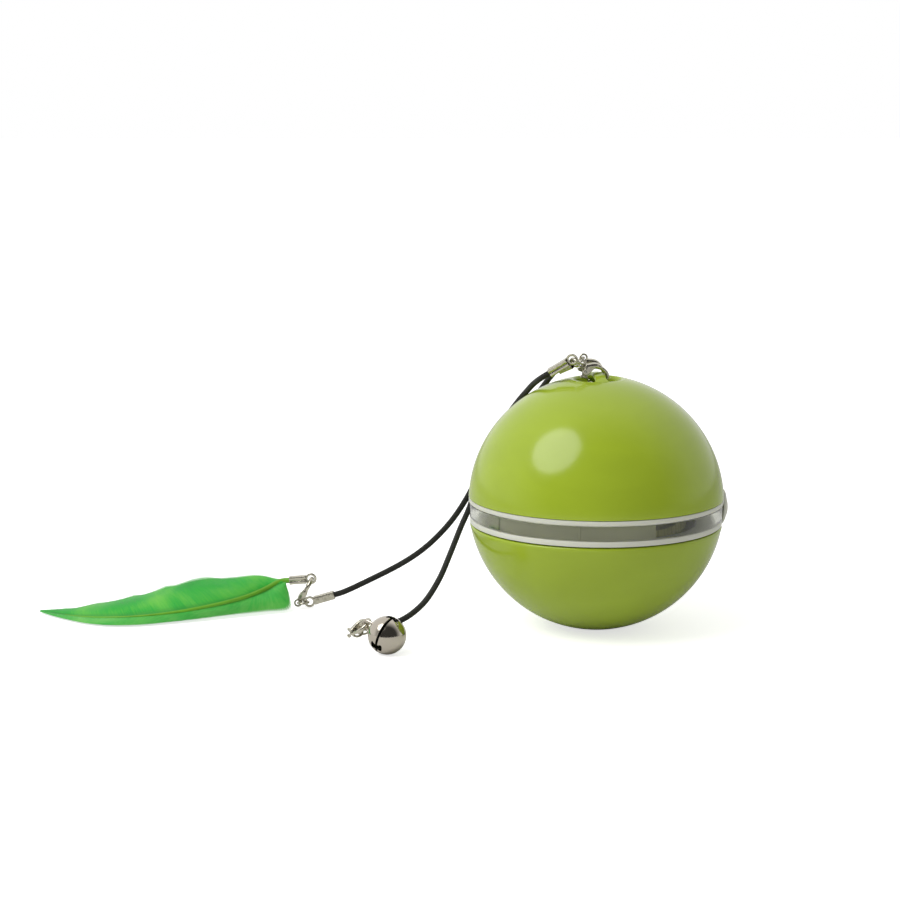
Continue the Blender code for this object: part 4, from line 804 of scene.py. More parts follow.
@dataclass(frozen=True)
class Palette:
    """Every finish of the ball and its lines, mixed once."""

    lime: bpy.types.Material
    rim: bpy.types.Material
    band: bpy.types.Material
    sleeve: bpy.types.Material
    rubber: bpy.types.Material
    black: bpy.types.Material
    board: bpy.types.Material
    steel: bpy.types.Material
    cells: bpy.types.Material
    nickel: bpy.types.Material
    inside: bpy.types.Material
    silver: bpy.types.Material
    lens: bpy.types.Material
    cord: bpy.types.Material
    vane: bpy.types.Material
    near_vane: bpy.types.Material
    quill: bpy.types.Material

    @classmethod
    def mixed(cls) -> "Palette":
        """Mix all finishes."""
        return cls(
            lime=Plastic(
                "lime_shell", (158, 180, 44), 0.02, (0.13, 0.19), 0.6 * MM, 0.003 * MM
            ).make(),
            rim=Plastic("pale_rim", (215, 216, 202), 0.02, (0.28, 0.4), inner=0.3).make(),
            band=Plastic(
                "clear_band", (238, 240, 228), 0.01, (0.03, 0.08), clear=1.0, ior=1.49
            ).make(),
            sleeve=Plastic(
                "frosted_sleeve", (190, 190, 168), 0.03, (0.5, 0.65), inner=0.2
            ).make(),
            rubber=Plastic("button_dome", (214, 212, 200), 0.02, (0.3, 0.45), inner=0.4).make(),
            black=Plastic(
                "black_moulding", (36, 37, 38), 0.08, (0.4, 0.55), 0.2 * MM, 0.01 * MM
            ).make(),
            board=BoardLaminate().make(),
            steel=Metal("zinced_steel", (176, 178, 180), (120, 116, 108), (0.2, 0.4)).make(),
            cells=Metal("cell_steel", (205, 205, 202), (160, 158, 152), (0.15, 0.3)).make(),
            nickel=Metal(
                "polished_nickel",
                (192, 184, 171),
                (168, 159, 146),
                (0.05, 0.13),
                3 * MM,
                0.004 * MM,
                0.3,
            ).make(),
            # Painted shade: a near-black finish for the inside of the bell, which is the same
            # nickel, dark only because little light gets in.
            inside=Plastic("bell_painted_shade", (12, 11, 10), 0.1, (0.5, 0.7)).make(),
            # Half of the silver plate takes the dark stain: partly tarnish and partly painted dark
            # reflection, for the plate's contrast.
            silver=Metal(
                "silver_plate",
                (198, 194, 178),
                (104, 98, 76),
                (0.06, 0.24),
                0.6 * MM,
                0.05 * MM,
                0.5,
            ).make(),
            lens=Plastic("lamp_lens", (232, 236, 240), 0.01, (0.05, 0.1), clear=0.7).make(),
            cord=WaxedThread("waxed_thread", (8, 9, 7), (36, 37, 32), 520).make(),
            vane=DyedVane(
                "dyed_vane", (8, 148, 36), (22, 178, 44), (112, 206, 70), 200
            ).make(),
            # Painted light: the near vane is a lighter, paler copy of the far vane's dye, standing
            # in for the light on that side.
            near_vane=DyedVane(
                "near_vane", (30, 156, 44), (62, 188, 66), (124, 210, 96), 200
            ).make(),
            quill=Plastic(
                "dyed_quill", (104, 172, 34), 0.12, (0.35, 0.5), 0.25 * MM, 0.02 * MM
            ).make(),
        )


def dress(
    piece: bpy.types.Object,
    finish: bpy.types.Material,
    body: Body,
    slot: Slot,
    *nodes: str,
) -> bpy.types.Object:
    """Finish a piece, fasten it to its body and let it stand for its solids.

    Args:
        piece: the finished piece.
        finish: its material, put first.
        body: the body that it moves with.
        slot: the record's slot that its finish comes from; not used.
        nodes: the solids that it stands for.

    Returns:
        The piece.
    """
    if piece.data.materials:
        piece.data.materials[0] = finish
    else:
        piece.data.materials.append(finish)
    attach(piece, body.value)
    if nodes:
        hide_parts(*nodes)
    LOG.info("%s rides on %s, %d faces", piece.name, body.value, len(piece.data.polygons))
    return piece


# Studio


@dataclass
class Studio:
    """Camera, floor and light.

    Attributes:
        lens: focal length on a 36 mm sensor.
        distance: from the camera to the ball's middle.
        tilt: how far it looks down.
        aside: how far the ball stands to the right of the middle of the view.
        below: how far it stands below it.
        ball: the ball's middle.
        ambient: how strong the even light is.
        key_aim: how far right, up and back from the ball the round soft box stands.
        key_away: its distance.
        key_size: its width.
        key_power: its power.
    """

    lens: float = 94.1
    distance: float = 600 * MM
    tilt: float = math.radians(9.9)
    aside: float = 37.2 * MM
    below: float = 13.26 * MM
    ball: Vector = field(default_factory=lambda: mm(0, 0, 32.19))
    ambient: float = 0.55
    key_aim: tuple[float, float, float] = (-0.554, 0.688, 0.469)
    key_away: float = 0.6
    key_size: float = 0.435
    key_power: float = 2.2

    @property
    def forward(self) -> Vector:
        """The way that the camera looks."""
        return Vector((0, math.cos(self.tilt), -math.sin(self.tilt)))

    @property
    def upward(self) -> Vector:
        """Up in the picture."""
        return Vector((0, math.sin(self.tilt), math.cos(self.tilt)))

    def place_camera(self) -> None:
        """Put the camera where the photograph was taken."""
        forward, upward, right = self.forward, self.upward, Vector((1, 0, 0))
        spot = self.ball - forward * self.distance - right * self.aside + upward * self.below
        camera = bpy.data.objects.new("view", bpy.data.cameras.new("view"))
        bpy.context.scene.collection.objects.link(camera)
        turn = Matrix((right, upward, -forward)).transposed().to_4x4()
        camera.matrix_world = Matrix.Translation(spot) @ turn
        camera.data.sensor_width = 36
        camera.data.lens = self.lens
        camera.data.clip_start = 0.01
        camera.data.clip_end = 20
        bpy.context.scene.camera = camera

    def lay_floor(self) -> None:
        """A pale floor that keeps the object's shadow."""
        put_down()
        bpy.ops.mesh.primitive_plane_add(size=6, location=(0, 0, 0))
        floor = named(bpy.context.active_object, "floor")
        paints = Paints("pale_floor")
        seen = paints.add("LightPath").outputs["Is Camera Ray"]
        glow = paints.add("Math", {0: seen, 1: 0.66}, operation="MULTIPLY").outputs[0]
        paints.set(Base_Color=linear(236, 236, 234), Roughness=0.6, Specular_IOR_Level=0.1)
        paints.set(Emission_Color=(1, 1, 1, 1), Emission_Strength=glow)
        floor.data.materials.append(paints.material)

    def light_world(self) -> None:
        """An even pale room: white to the eye, with a darker side for metal to show."""
        world = bpy.data.worlds.new("pale_room")
        bpy.context.scene.world = world
        world.use_nodes = True
        wiring = Wiring(world.node_tree)
        wiring.nodes.clear()
        where = wiring.add("TexCoord").outputs["Generated"]
        across = wiring.add("VectorMath", {0: where, 1: (0.9, -0.4, 0)}, operation="DOT_PRODUCT")
        spread = {"Value": across.outputs["Value"], "From Min": -1, "To Min": 1.12, "To Max": 0.72}
        fall = wiring.add("MapRange", spread).outputs["Result"]
        even = wiring.add("Background", {"Color": fall, "Strength": self.ambient})
        seen = wiring.add("Background", {"Color": (1, 1, 1, 1), "Strength": 1.0})
        front = wiring.add("VectorMath", {0: where, 1: (0.1, -0.95, 0.2)}, operation="DOT_PRODUCT")
        ramp = wiring.add("ValToRGB", {"Fac": front.outputs["Value"]})
        for element, (position, grey) in zip(ramp.color_ramp.elements, ((0.0, 0.9), (0.6, 0.05))):
            element.position = position
            element.color = (grey, grey, grey, 1)
        glint = wiring.add("Background", {"Color": ramp.outputs["Color"], "Strength": 1.08})
        rays = wiring.add("LightPath").outputs
        either = {0: rays["Is Camera Ray"], 1: rays["Is Transmission Ray"]}
        shown = wiring.add("Math", either, operation="MAXIMUM").outputs[0]
        lit = {"Fac": rays["Is Glossy Ray"], 1: even.outputs[0], 2: glint.outputs[0]}
        first = wiring.add("MixShader", lit).outputs[0]
        last = wiring.add("MixShader", {"Fac": shown, 1: first, 2: seen.outputs[0]}).outputs[0]
        wiring.add("OutputWorld", {"Surface": last})

    def hang_lamp(self, name: str, aim: Vector, away: float, size: float, power: float) -> None:
        """Hang one round soft box that shines at the ball.

        Args:
            name: name of the lamp.
            aim: direction from the ball to it.
            away: its distance.
            size: its width.
            power: its power.
        """
        data = bpy.data.lights.new(name, "AREA")
        data.shape = "DISK"
        data.size = size
        data.energy = power
        lamp = bpy.data.objects.new(name, data)
        bpy.context.scene.collection.objects.link(lamp)
        place = upright(self.ball + aim.normalized() * away, aim, Vector((1, 0, 0.1)))
        lamp.matrix_world = place

    def build(self) -> None:
        """Set up the whole studio."""
        self.place_camera()
        self.lay_floor()
        self.light_world()
        right, up, back = self.key_aim
        key = Vector((right, 0, 0)) + self.upward * up - self.forward * back
        self.hang_lamp("round_soft_box", key, self.key_away, self.key_size, self.key_power)
        bpy.context.scene.view_settings.view_transform = "Standard"


# Fittings: lobster clasps, jump rings and folded crimps


@dataclass
class Link:
    """Where the next piece hangs on a wire, and which way that wire runs."""

    place: Vector
    wire: Vector


@dataclass
class Clasp:
    """One cast lobster clasp with a sprung lever on a pin.

    It is drawn about the middle of its hook's round end, with X from its eye to its hook and Y to
    the side that the lever closes.
    """

    outer: float = 2.55 * MM
    inner: float = 1.8 * MM
    reach: float = CLASP_REACH * MM
    half: float = 0.85 * MM
    eye_radius: float = 0.85 * MM
    eye_wire: float = 0.25 * MM
    pivot: Vector = field(default_factory=lambda: mm(-3.55, 1.0, 0))
    slot_half: float = 0.45 * MM
    lever_half: float = 0.2 * MM
    pin_radius: float = 0.22 * MM
    wire: float = 0.47 * MM
    voxel: float = 0.075 * MM

    def claw(self, eye_axis: Vector) -> bpy.types.Object:
        """Cast the hook, its thick shoulder and its eye in one.

        Args:
            eye_axis: which way the eye's hole runs, in the clasp's own directions.

        Returns:
            The cast body.
        """
        middle = (self.outer + self.inner) / 2
        turns = [math.radians(78 - 168 * i / 14) for i in range(15)]
        points = [mm(-0.95, 2.28, 0), mm(-0.35, 2.2, 0)]
        points += [Vector((middle * math.cos(a), middle * math.sin(a), 0)) for a in turns]
        points += [mm(-0.9, -2.16, 0), mm(-1.8, -2.0, 0), mm(-2.6, -1.65, 0), mm(-3.3, -1.05, 0)]
        points += [mm(-3.9, -0.4, 0), mm(-4.5, 0, 0)]
        path = smooth_route(points, count=56)
        shares = []
        for i in range(len(path)):
            t = i / (len(path) - 1)
            grown = 0.72 + 0.28 * min(1.0, t / 0.1)
            shoulder = max(0.0, 1 - ((t - 0.86) / 0.2) ** 2) ** 0.8 if t > 0.66 else 0.0
            shares.append(grown + 0.75 * shoulder)
        hook = wire("claw", path, self.wire, shares, roundness=5)
        settle(hook, Matrix.Diagonal((1, 1, 1.15, 1)))
        outline = [
            (-1.95, -1.9), (-2.0, -2.42), (-2.6, -2.36), (-3.3, -1.9), (-4.05, -0.8), (-4.35, -0.3),
            (-4.3, 0.9), (-4.0, 1.75), (-3.5, 1.95), (-3.05, 1.8), (-2.7, 1.3), (-2.55, 0.4),
            (-2.45, -0.6), (-2.2, -1.35),
        ]
        shoulder = slab("shoulder", outlined(outline), -self.half, self.half)
        bevel(shoulder, 0.3 * MM, 4)
        ring = circle(self.eye_radius, [math.tau * i / 28 for i in range(28)])
        eye = wire("eye", ring, self.eye_wire, closed=True, roundness=3)
        settle(eye, upright(Vector((-self.reach, 0, 0)), eye_axis, Vector((1, 0, 0))))
        cast = join([hook, shoulder, eye], "claw")
        modify(cast, "REMESH", mode="VOXEL", voxel_size=self.voxel)
        modify(cast, "SMOOTH", factor=0.5, iterations=3)
        opening = block(
            "lever_slot",
            Vector((-4.3 * MM, 0.15 * MM, -self.slot_half)),
            Vector((-2.2 * MM, 3.2 * MM, self.slot_half)),
        )
        cut(cast, opening)
        smooth(cast, 40)
        return cast

    def lever(self) -> bpy.types.Object:
        """Stamp the lever that closes the mouth, with its thumb tab."""
        points = [
            (-4.15, 0.7), (-3.8, 0.4), (-3.2, 0.42), (-2.9, 0.9), (-2.45, 1.72), (-2.0, 1.86),
            (-1.27, 1.86), (-1.25, 2.38), (-2.1, 2.42), (-2.7, 2.5), (-3.2, 2.85), (-3.75, 3.02),
            (-4.1, 2.8), (-4.0, 2.45), (-3.85, 2.2), (-4.2, 1.6),
        ]
        lever = slab("lever", outlined(points), -self.lever_half, self.lever_half)
        bevel(lever, 0.09 * MM, 3)
        tab = block("tab", mm(-3.98, 2.45, -0.5), mm(-3.3, 2.98, 0.5), 0.16 * MM)
        closer = block("closer", mm(-1.75, 1.84, -0.34), mm(-1.25, 2.44, 0.34), 0.12 * MM)
        lever = join([lever, tab, closer], "lever")
        smooth(lever, 50)
        return lever

    def pin(self) -> bpy.types.Object:
        """The riveted pin that the lever turns on."""
        top = self.half + 0.02 * MM
        head = 0.3 * MM
        profile = [(0, top), (0.2 * MM, top), (head, top - 0.05 * MM), (head, top - 0.12 * MM)]
        profile += [(self.pin_radius, top - 0.13 * MM), (self.pin_radius, -top + 0.13 * MM)]
        profile += [(head, -top + 0.12 * MM), (head, -top + 0.05 * MM), (0.2 * MM, -top), (0, -top)]
        pin = turned("pin", profile, 24)
        settle(pin, Matrix.Translation(self.pivot))
        smooth(pin)
        return pin

    def build(
        self,
        name: str,
        nose: Vector,
        aim: Vector,
        side: Vector,
        eye_axis: Vector,
        bodies: tuple[Body, Body],
        palette: Palette,
    ) -> tuple[Vector, list[bpy.types.Object]]:
        """Make one clasp and put it in its place.

        Args:
            name: start of its pieces' names.
            nose: middle of its hook's round end.
            aim: direction from its eye to its hook.
            side: the side that its lever closes.
            eye_axis: which way its eye's hole runs.
            bodies: the bodies of its claw and of its lever.
            palette: the finishes.

        Returns:
            The middle of its eye, and its pieces.
        """
        place = along(nose, aim, aim.cross(side))
        inward = place.to_3x3().inverted() @ eye_axis
        claw = named(settle(self.claw(inward), place), f"{name}_claw")
        lever = named(settle(self.lever(), place), f"{name}_catch")
        pin = named(settle(self.pin(), place), f"{name}_rivet")
        dress(claw, palette.silver, bodies[0], Slot.SILVER, f"{name}_body")
        dress(lever, palette.silver, bodies[1], Slot.SILVER, f"{name}_lever")
        dress(pin, palette.steel, bodies[0], Slot.STEEL, f"{name}_pin")
        return nose - aim.normalized() * self.reach, [claw, pin]


@dataclass
class JumpRing:
    """A ring of round wire whose ends meet in a hairline split."""

    radius: float = 1.4 * MM
    wire: float = 0.3 * MM
    split: float = math.radians(3)
    split_at: float = math.radians(100)
    steps: int = 56

    def build(
        self,
        name: str,
        eye: Vector,
        tangent: Vector,
        aim: Vector,
        turn: float,
        body: Body,
        palette: Palette,
    ) -> tuple[Link, bpy.types.Object]:
        """Put a ring through an eye.

        Args:
            name: name of the solid that it stands for.
            eye: middle of the eye.
            tangent: which way the wire passes through the eye.
            aim: direction from the eye to the ring's middle.
            turn: angle round the ring from the eye to the next piece.
            body: the body that it moves with.
            palette: the finishes.

        Returns:
            Where the next piece hangs, and the ring.
        """
        across = tangent.normalized()
        outward = (aim - aim.dot(across) * across).normalized()
        middle = eye + outward * self.radius
        sweep = math.tau - 2 * self.split
        turns = [
            self.split + sweep * i / self.steps + self.split_at for i in range(self.steps + 1)
        ]
        ring = wire(f"{name}_wire", circle(self.radius, turns), self.wire, roundness=5)
        weld(ring)
        settle(ring, upright(middle, outward.cross(across), outward))
        smooth(ring, 50)
        dress(ring, palette.silver, body, Slot.SILVER, name)
        hang = middle + self.radius * (-outward * math.cos(turn) + across * math.sin(turn))
        return Link(hang, outward * math.sin(turn) + across * math.cos(turn)), ring


@dataclass
class Crimp:
    """A stamped end that is folded over the cord, with a flat loop.

    It is drawn about the middle of its loop, with X along its barrel.
    """

    length: float = 5.5 * MM
    start: float = 1.3 * MM
    half: float = 1.15 * MM
    loop_radius: float = 1.2 * MM
    loop_wire: float = 0.3 * MM
    floor: float = 1.0 * MM
    inset: float = 0.3 * MM
    straight: float = 2.2 * MM
    sink: float = 0.3 * MM

    def barrel(self) -> bpy.types.Object:
        """Fold the sheet round the cord, with its two flaps meeting in a seam."""
        right = [
            (0.05, 0.66), (0.08, 0.96), (0.28, 1.08), (0.74, 1.1), (0.98, 1.03), (1.08, 0.82),
            (1.12, 0.0), (1.08, -0.86), (0.98, -1.06), (0.74, -1.13), (0.0, -1.15),
        ]
        section = right + [(-y, z) for y, z in reversed(right[:-1])]
        share = self.half / (1.15 * MM)
        points = [Vector((self.start, y * MM * share, z * MM * share)) for y, z in section]
        sheet = traced("barrel", points)
        take_edit(sheet)
        steps = 11
        for _ in range(steps):
            value = (self.length / steps, 0, 0)
            bpy.ops.mesh.extrude_region_move(TRANSFORM_OT_translate={"value": value})
        put_down()
        end = self.start + self.length
        for vertex in sheet.data.vertices:
            along_barrel = (vertex.co.x - self.start) / (end - self.start)
            swell = 1 - 0.06 * (1 + math.cos(along_barrel * 5 * math.tau)) / 2
            flare = 1 + 0.05 * max(0, abs(along_barrel - 0.5) * 2 - 0.8) / 0.2
            dent = 1 + 0.03 * noise.noise(vertex.co / (0.8 * MM))
            vertex.co.y *= swell * flare * dent
            vertex.co.z *= swell * flare * dent
        weld(sheet)
        modify(sheet, "SOLIDIFY", thickness=0.24 * MM, offset=-1, use_even_offset=True)
        bevel(sheet, 0.05 * MM, 2)
        modify(sheet, "SUBSURF", levels=1, render_levels=1)
        return sheet

    def tongue(self) -> bpy.types.Object:
        """The neck between the loop and the back of the barrel, and the loop itself."""
        low, high = self.loop_radius - self.loop_wire, self.loop_radius + self.loop_wire
        flat = self.loop_wire * 0.62
        section = [(low, -flat), (high, -flat), (high, flat), (low, flat), (low, -flat)]
        loop = turned("loop", section, 48)
        bevel(loop, 0.08 * MM, 2)
        back = -self.half * 0.9
        points = [(1.2, 0.0), (1.5, -0.05), (1.75, 0.35 * back / MM), (2.0, 0.85 * back / MM)]
        points.append((2.6, back / MM))
        neck = traced("neck", [mm(x, -0.55, z) for x, z in points])
        take_edit(neck)
        bpy.ops.mesh.extrude_region_move(TRANSFORM_OT_translate={"value": (0, 1.1 * MM, 0)})
        put_down()
        modify(neck, "SOLIDIFY", thickness=0.42 * MM, offset=0)
        bevel(neck, 0.08 * MM, 2, every=True)
        return join([loop, neck], "tongue")

    def build(
        self,
        name: str,
        link: Link,
        aim: Vector,
        body: Body,
        palette: Palette,
        seam: float = 0.0,
    ) -> tuple[list[Vector], bpy.types.Object]:
        """Hang a crimp on a wire.

        Args:
            name: name of the solid that it stands for.
            link: the wire that its loop hangs on.
            aim: direction of its barrel.
            body: the body that it moves with.
            palette: the finishes.
            seam: half turns of the barrel, so that its seam lies on the other side.

        Returns:
            The points inside its bore, at its mouth and straight out of it, and the crimp.
        """
        outward = aim.normalized()
        loop = link.place + outward * self.sink
        barrel = self.barrel()
        tongue = self.tongue()
        crimp = join([barrel, tongue], f"{name}_fold")
        settle(crimp, Matrix.Rotation(seam * math.pi, 4, "X"))
        settle(crimp, along(loop, outward, link.wire))
        weld(crimp)
        smooth(crimp, 50)
        dress(crimp, palette.silver, body, Slot.SILVER, name)
        end = self.start + self.length
        inside = loop + outward * (self.start + self.floor + self.inset)
        return [inside, loop + outward * end, loop + outward * (end + self.straight)], crimp


# Lines


@dataclass
class Line:
    """One waxed cord with a clasp, a ring and a crimp at each end.

    Attributes:
        name: start of its pieces' names.
        body: the body of the line.
        hook_lever: the body of the upper clasp's lever.
        clasp_lever: the body of the lower clasp's lever.
        along_bar: how far along the bar it hooks on.
        tilt: how steeply its upper clasp stands.
        ring_aim: direction of its upper ring from the clasp.
        link_turn: angle round that ring to the crimp.
        top_aim: direction of its upper crimp.
        route: the points of its cord.
        low_nose: middle of its lower clasp's hook.
        low_aim: direction from that eye to its hook.
        low_side: the side that its lever closes.
        low_axis: which way that eye's hole runs.
        low_ring_aim: direction of its lower ring from the clasp.
        low_crimp_aim: direction of its lower crimp.
        cord_radius: half the cord's thickness.
        spacing: distance between the points that the cord is drawn through.
    """

    name: str
    body: Body
    hook_lever: Body
    clasp_lever: Body
    along_bar: float
    tilt: float
    ring_aim: Vector
    link_turn: float
    top_aim: Vector
    route: Sequence[Vector]
    low_nose: Vector
    low_aim: Vector
    low_side: Vector
    low_axis: Vector
    low_ring_aim: Vector
    low_crimp_aim: Vector
    cord_radius: float = 0.75 * MM
    spacing: float = 1.2 * MM

    def build(self, ball: "Ball", palette: Palette) -> None:
        """Make the whole line with its cord."""
        clasp, ring, crimp = Clasp(), JumpRing(), Crimp()
        bar = ball.bar_axis()
        left = bar.cross(UP) * -1
        aim = -(left * math.cos(self.tilt) + UP * math.sin(self.tilt))
        eye, _ = clasp.build(
            f"{self.name}_hook",
            ball.bar_middle(self.along_bar),
            aim,
            bar.cross(aim),
            bar,
            (self.body, self.hook_lever),
            palette,
        )
        link, _ = ring.build(
            f"{self.name}_hook_ring", eye, bar, self.ring_aim, self.link_turn, self.body, palette
        )
        start, _ = crimp.build(f"{self.name}_top_crimp", link, self.top_aim, self.body, palette)
        eye, low = clasp.build(
            f"{self.name}_clasp",
            self.low_nose,
            self.low_aim,
            self.low_side,
            self.low_axis,
            (self.body, self.clasp_lever),
            palette,
        )
        link, low_ring = ring.build(
            f"{self.name}_clasp_ring",
            eye,
            self.low_axis,
            self.low_ring_aim,
            math.pi,
            self.body,
            palette,
        )
        finish, low_crimp = crimp.build(
            f"{self.name}_bottom_crimp", link, self.low_crimp_aim, self.body, palette, 1.0
        )
        free = smooth_route([start[1], start[2], *self.route, finish[2], finish[1]], self.spacing)
        path = [start[0], *free, finish[0]]
        cord = wire(f"{self.name}_thread", path, self.cord_radius, roundness=5)
        smooth(cord, 60)
        dress(cord, palette.cord, self.body, Slot.CORD, f"{self.name}_cord")
        LOG.info("%s cord measures %.1f mm", self.name, length_of(path) / MM)


def feather_line() -> Line:
    """The line that ends in the feather's clasp."""
    aim = Vector((0.5, 0, 0.866)).normalized()
    route = (
        (-11.2, 13.0, 62.7), (-13.9, 17.3, 58.2), (-18.7, 20.6, 51.4), (-24.8, 22.2, 43.1),
        (-29.6, 21.3, 35.2), (-32.8, 20.0, 29.3), (-36.3, 19.9, 23.9), (-40.7, 21.0, 18.6),
        (-45.2, 21.6, 14.5), (-50.5, 21.7, 11.0), (-57.9, 20.5, 7.4),
    )
    return Line(
        name="feather",
        body=Body.FEATHER_LINE,
        hook_lever=Body.FEATHER_HOOK_LEVER,
        clasp_lever=Body.FEATHER_CLASP_LEVER,
        along_bar=2.2 * MM,
        tilt=math.radians(55),
        ring_aim=Vector((-0.81, -0.114, -0.57)),
        link_turn=math.radians(130),
        top_aim=Vector((-0.5, 0.79, -0.35)),
        route=typed(route),
        low_nose=mm(-77.4, 17.3, 1.6) + aim * CLASP_REACH * MM,
        low_aim=aim,
        low_side=Vector((0, 1, 0)),
        low_axis=Vector((0, 1, 0)),
        low_ring_aim=Vector((1, 0, 0.08)),
        low_crimp_aim=Vector((0.96, 0, 0.28)),
    )


def bell_line() -> Line:
    """The line that ends in the bell's clasp."""
    aim = Vector((0.54, -0.75, 0.37)).normalized()
    bell = Bell()
    route = (
        (-15.9, 4.6, 62.0), (-17.5, 9.1, 59.4), (-19.5, 13.0, 56.3), (-22.6, 16.0, 51.3),
        (-26.6, 17.5, 43.0), (-29.9, 16.0, 34.8), (-32.2, 11.4, 28.4), (-34.3, 6.8, 24.5),
        (-37.1, -0.8, 19.0), (-39.8, -8.2, 14.2), (-43.2, -15.4, 10.2), (-45.9, -19.6, 8.4),
        (-48.2, -21.6, 7.2),
    )
    return Line(
        name="bell",
        body=Body.BELL_LINE,
        hook_lever=Body.BELL_HOOK_LEVER,
        clasp_lever=Body.BELL_CLASP_LEVER,
        along_bar=-2.2 * MM,
        tilt=math.radians(38),
        ring_aim=Vector((-0.857, -0.12, 0.5)),
        link_turn=math.pi,
        top_aim=Vector((-0.8, 0.28, -0.53)),
        route=typed(route),
        low_nose=bell.middle + bell.axis * 6.05 * MM - aim * HOOK_BEND * MM,
        low_aim=aim,
        low_side=Vector((-0.545, -0.653, -0.528)),
        low_axis=Vector((0.194, 0.543, 0.817)),
        low_ring_aim=Vector((0.97, 0, -0.23)),
        low_crimp_aim=Vector((0.94, -0.12, 0.32)),
    )


# Bell


@dataclass
class Bell:
    """A jingle bell of two pressed halves with a wire loop and a pellet."""

    radius: float = 4.75 * MM
    wall: float = 0.45 * MM
    middle: Vector = field(default_factory=lambda: mm(-52.6, -29.3, 4.75))
    axis: Vector = field(default_factory=lambda: Vector((-0.82, 0.46, 0.33)).normalized())
    holes: int = 3
    hole_aim: Vector = field(default_factory=lambda: Vector((-0.567, -0.697, -0.438)).normalized())
    side: Vector = field(default_factory=lambda: Vector((-0.545, -0.653, -0.528)))
    seam: float = 0.6 * MM
    lip: float = 0.12 * MM
    loop_half: float = 1.6 * MM
    loop_wire: float = 0.38 * MM
    loop_rise: float = 2.35 * MM
    pellet: float = 1.4 * MM

    def half(self, name: str, upper: bool) -> bpy.types.Object:
        """Press one half, with its lip turned in at the seam.

        Args:
            name: name of the half.
            upper: whether it is the half with the loop.

        Returns:
            The half, drawn about the bell's middle with Z along its axis.
        """
        lip = self.lip
        inner = self.radius - self.wall
        edge = self.seam / 2
        outer_arc = arc(self.radius, 0, math.acos((edge + lip) / self.radius), 30)
        rounded = corner((self.radius - lip, edge + lip), lip, 0, -90, 4)
        inner_arc = arc(inner, math.acos(edge / inner), 0, 16)
        profile = [*outer_arc, *rounded[1:], *inner_arc]
        profile[0] = (0, self.radius)
        profile[-1] = (0, inner)
        if not upper:
            profile = [(across, -rise) for across, rise in profile]
        half = turned(name, profile, 96)
        return half

    def bow(self, index: int) -> bpy.types.Object:
        """A cutter for one of the sound holes, waisted at the seam."""
        outline = [
            (-1.5, 0.8), (-1.62, 0.0), (-1.5, -0.8), (-1.2, -1.1), (-0.4, -0.75), (0.4, -0.75),
            (1.2, -1.1), (1.5, -0.8), (1.62, 0.0), (1.5, 0.8), (1.2, 1.1), (0.4, 0.75),
            (-0.4, 0.75), (-1.2, 1.1),
        ]
        cutter = slab("bow", outlined(outline), 1.5 * MM, 6 * MM)
        turn = Matrix.Rotation(math.tau * index / self.holes, 3, self.axis)
        return settle(cutter, upright(self.middle, turn @ self.hole_aim, self.axis))

    def build(self, palette: Palette) -> None:
        """Make the whole bell."""
        place = upright(self.middle, self.axis, self.side.cross(self.axis))
        for name, upper in (("bell_cap", True), ("bell_cup", False)):
            half = settle(self.half(f"{name}_pressing", upper), place)
            for index in range(self.holes):
                cut(half, self.bow(index))
            half.data.materials.clear()
            half.data.materials.append(palette.nickel)
            half.data.materials.append(palette.inside)
            # Faces deep inside the bell take the near-black painted shade.
            for face in half.data.polygons:
                deep = (face.center - self.middle).length < self.radius - self.wall * 0.6
                face.material_index = 1 if deep else 0
            smooth(half, 32)
            dress(half, palette.nickel, Body.BELL, Slot.NICKEL, name)
        shoulder = self.radius + self.loop_rise - self.loop_half
        foot = self.radius - self.wall - 0.6 * MM
        points = [Vector((self.loop_half, 0, foot)), Vector((self.loop_half, 0, foot + 0.5 * MM))]
        for i in range(25):
            angle = math.pi * i / 24
            lift = shoulder + self.loop_half * math.sin(angle)
            points.append(Vector((self.loop_half * math.cos(angle), 0, lift)))
        points += [Vector((-self.loop_half, 0, foot + rise)) for rise in (0.5 * MM, 0)]
        loop = settle(wire("bell_wire", points, self.loop_wire, roundness=5), place)
        smooth(loop, 50)
        dress(loop, palette.nickel, Body.BELL, Slot.NICKEL, "bell_loop")
        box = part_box("bell_pellet")
        put_down()
        bpy.ops.mesh.primitive_ico_sphere_add(subdivisions=4, radius=self.pellet)
        pellet = named(bpy.context.active_object, "pellet_shot")
        for vertex in pellet.data.vertices:
            vertex.co *= 1 - 0.02 * abs(noise.noise(vertex.co / MM))
        settle(pellet, Matrix.Translation((box[0] + box[1]) / 2))
        smooth(pellet, 60)
        dress(pellet, palette.steel, Body.PELLET, Slot.STEEL, "bell_pellet")


# Feather


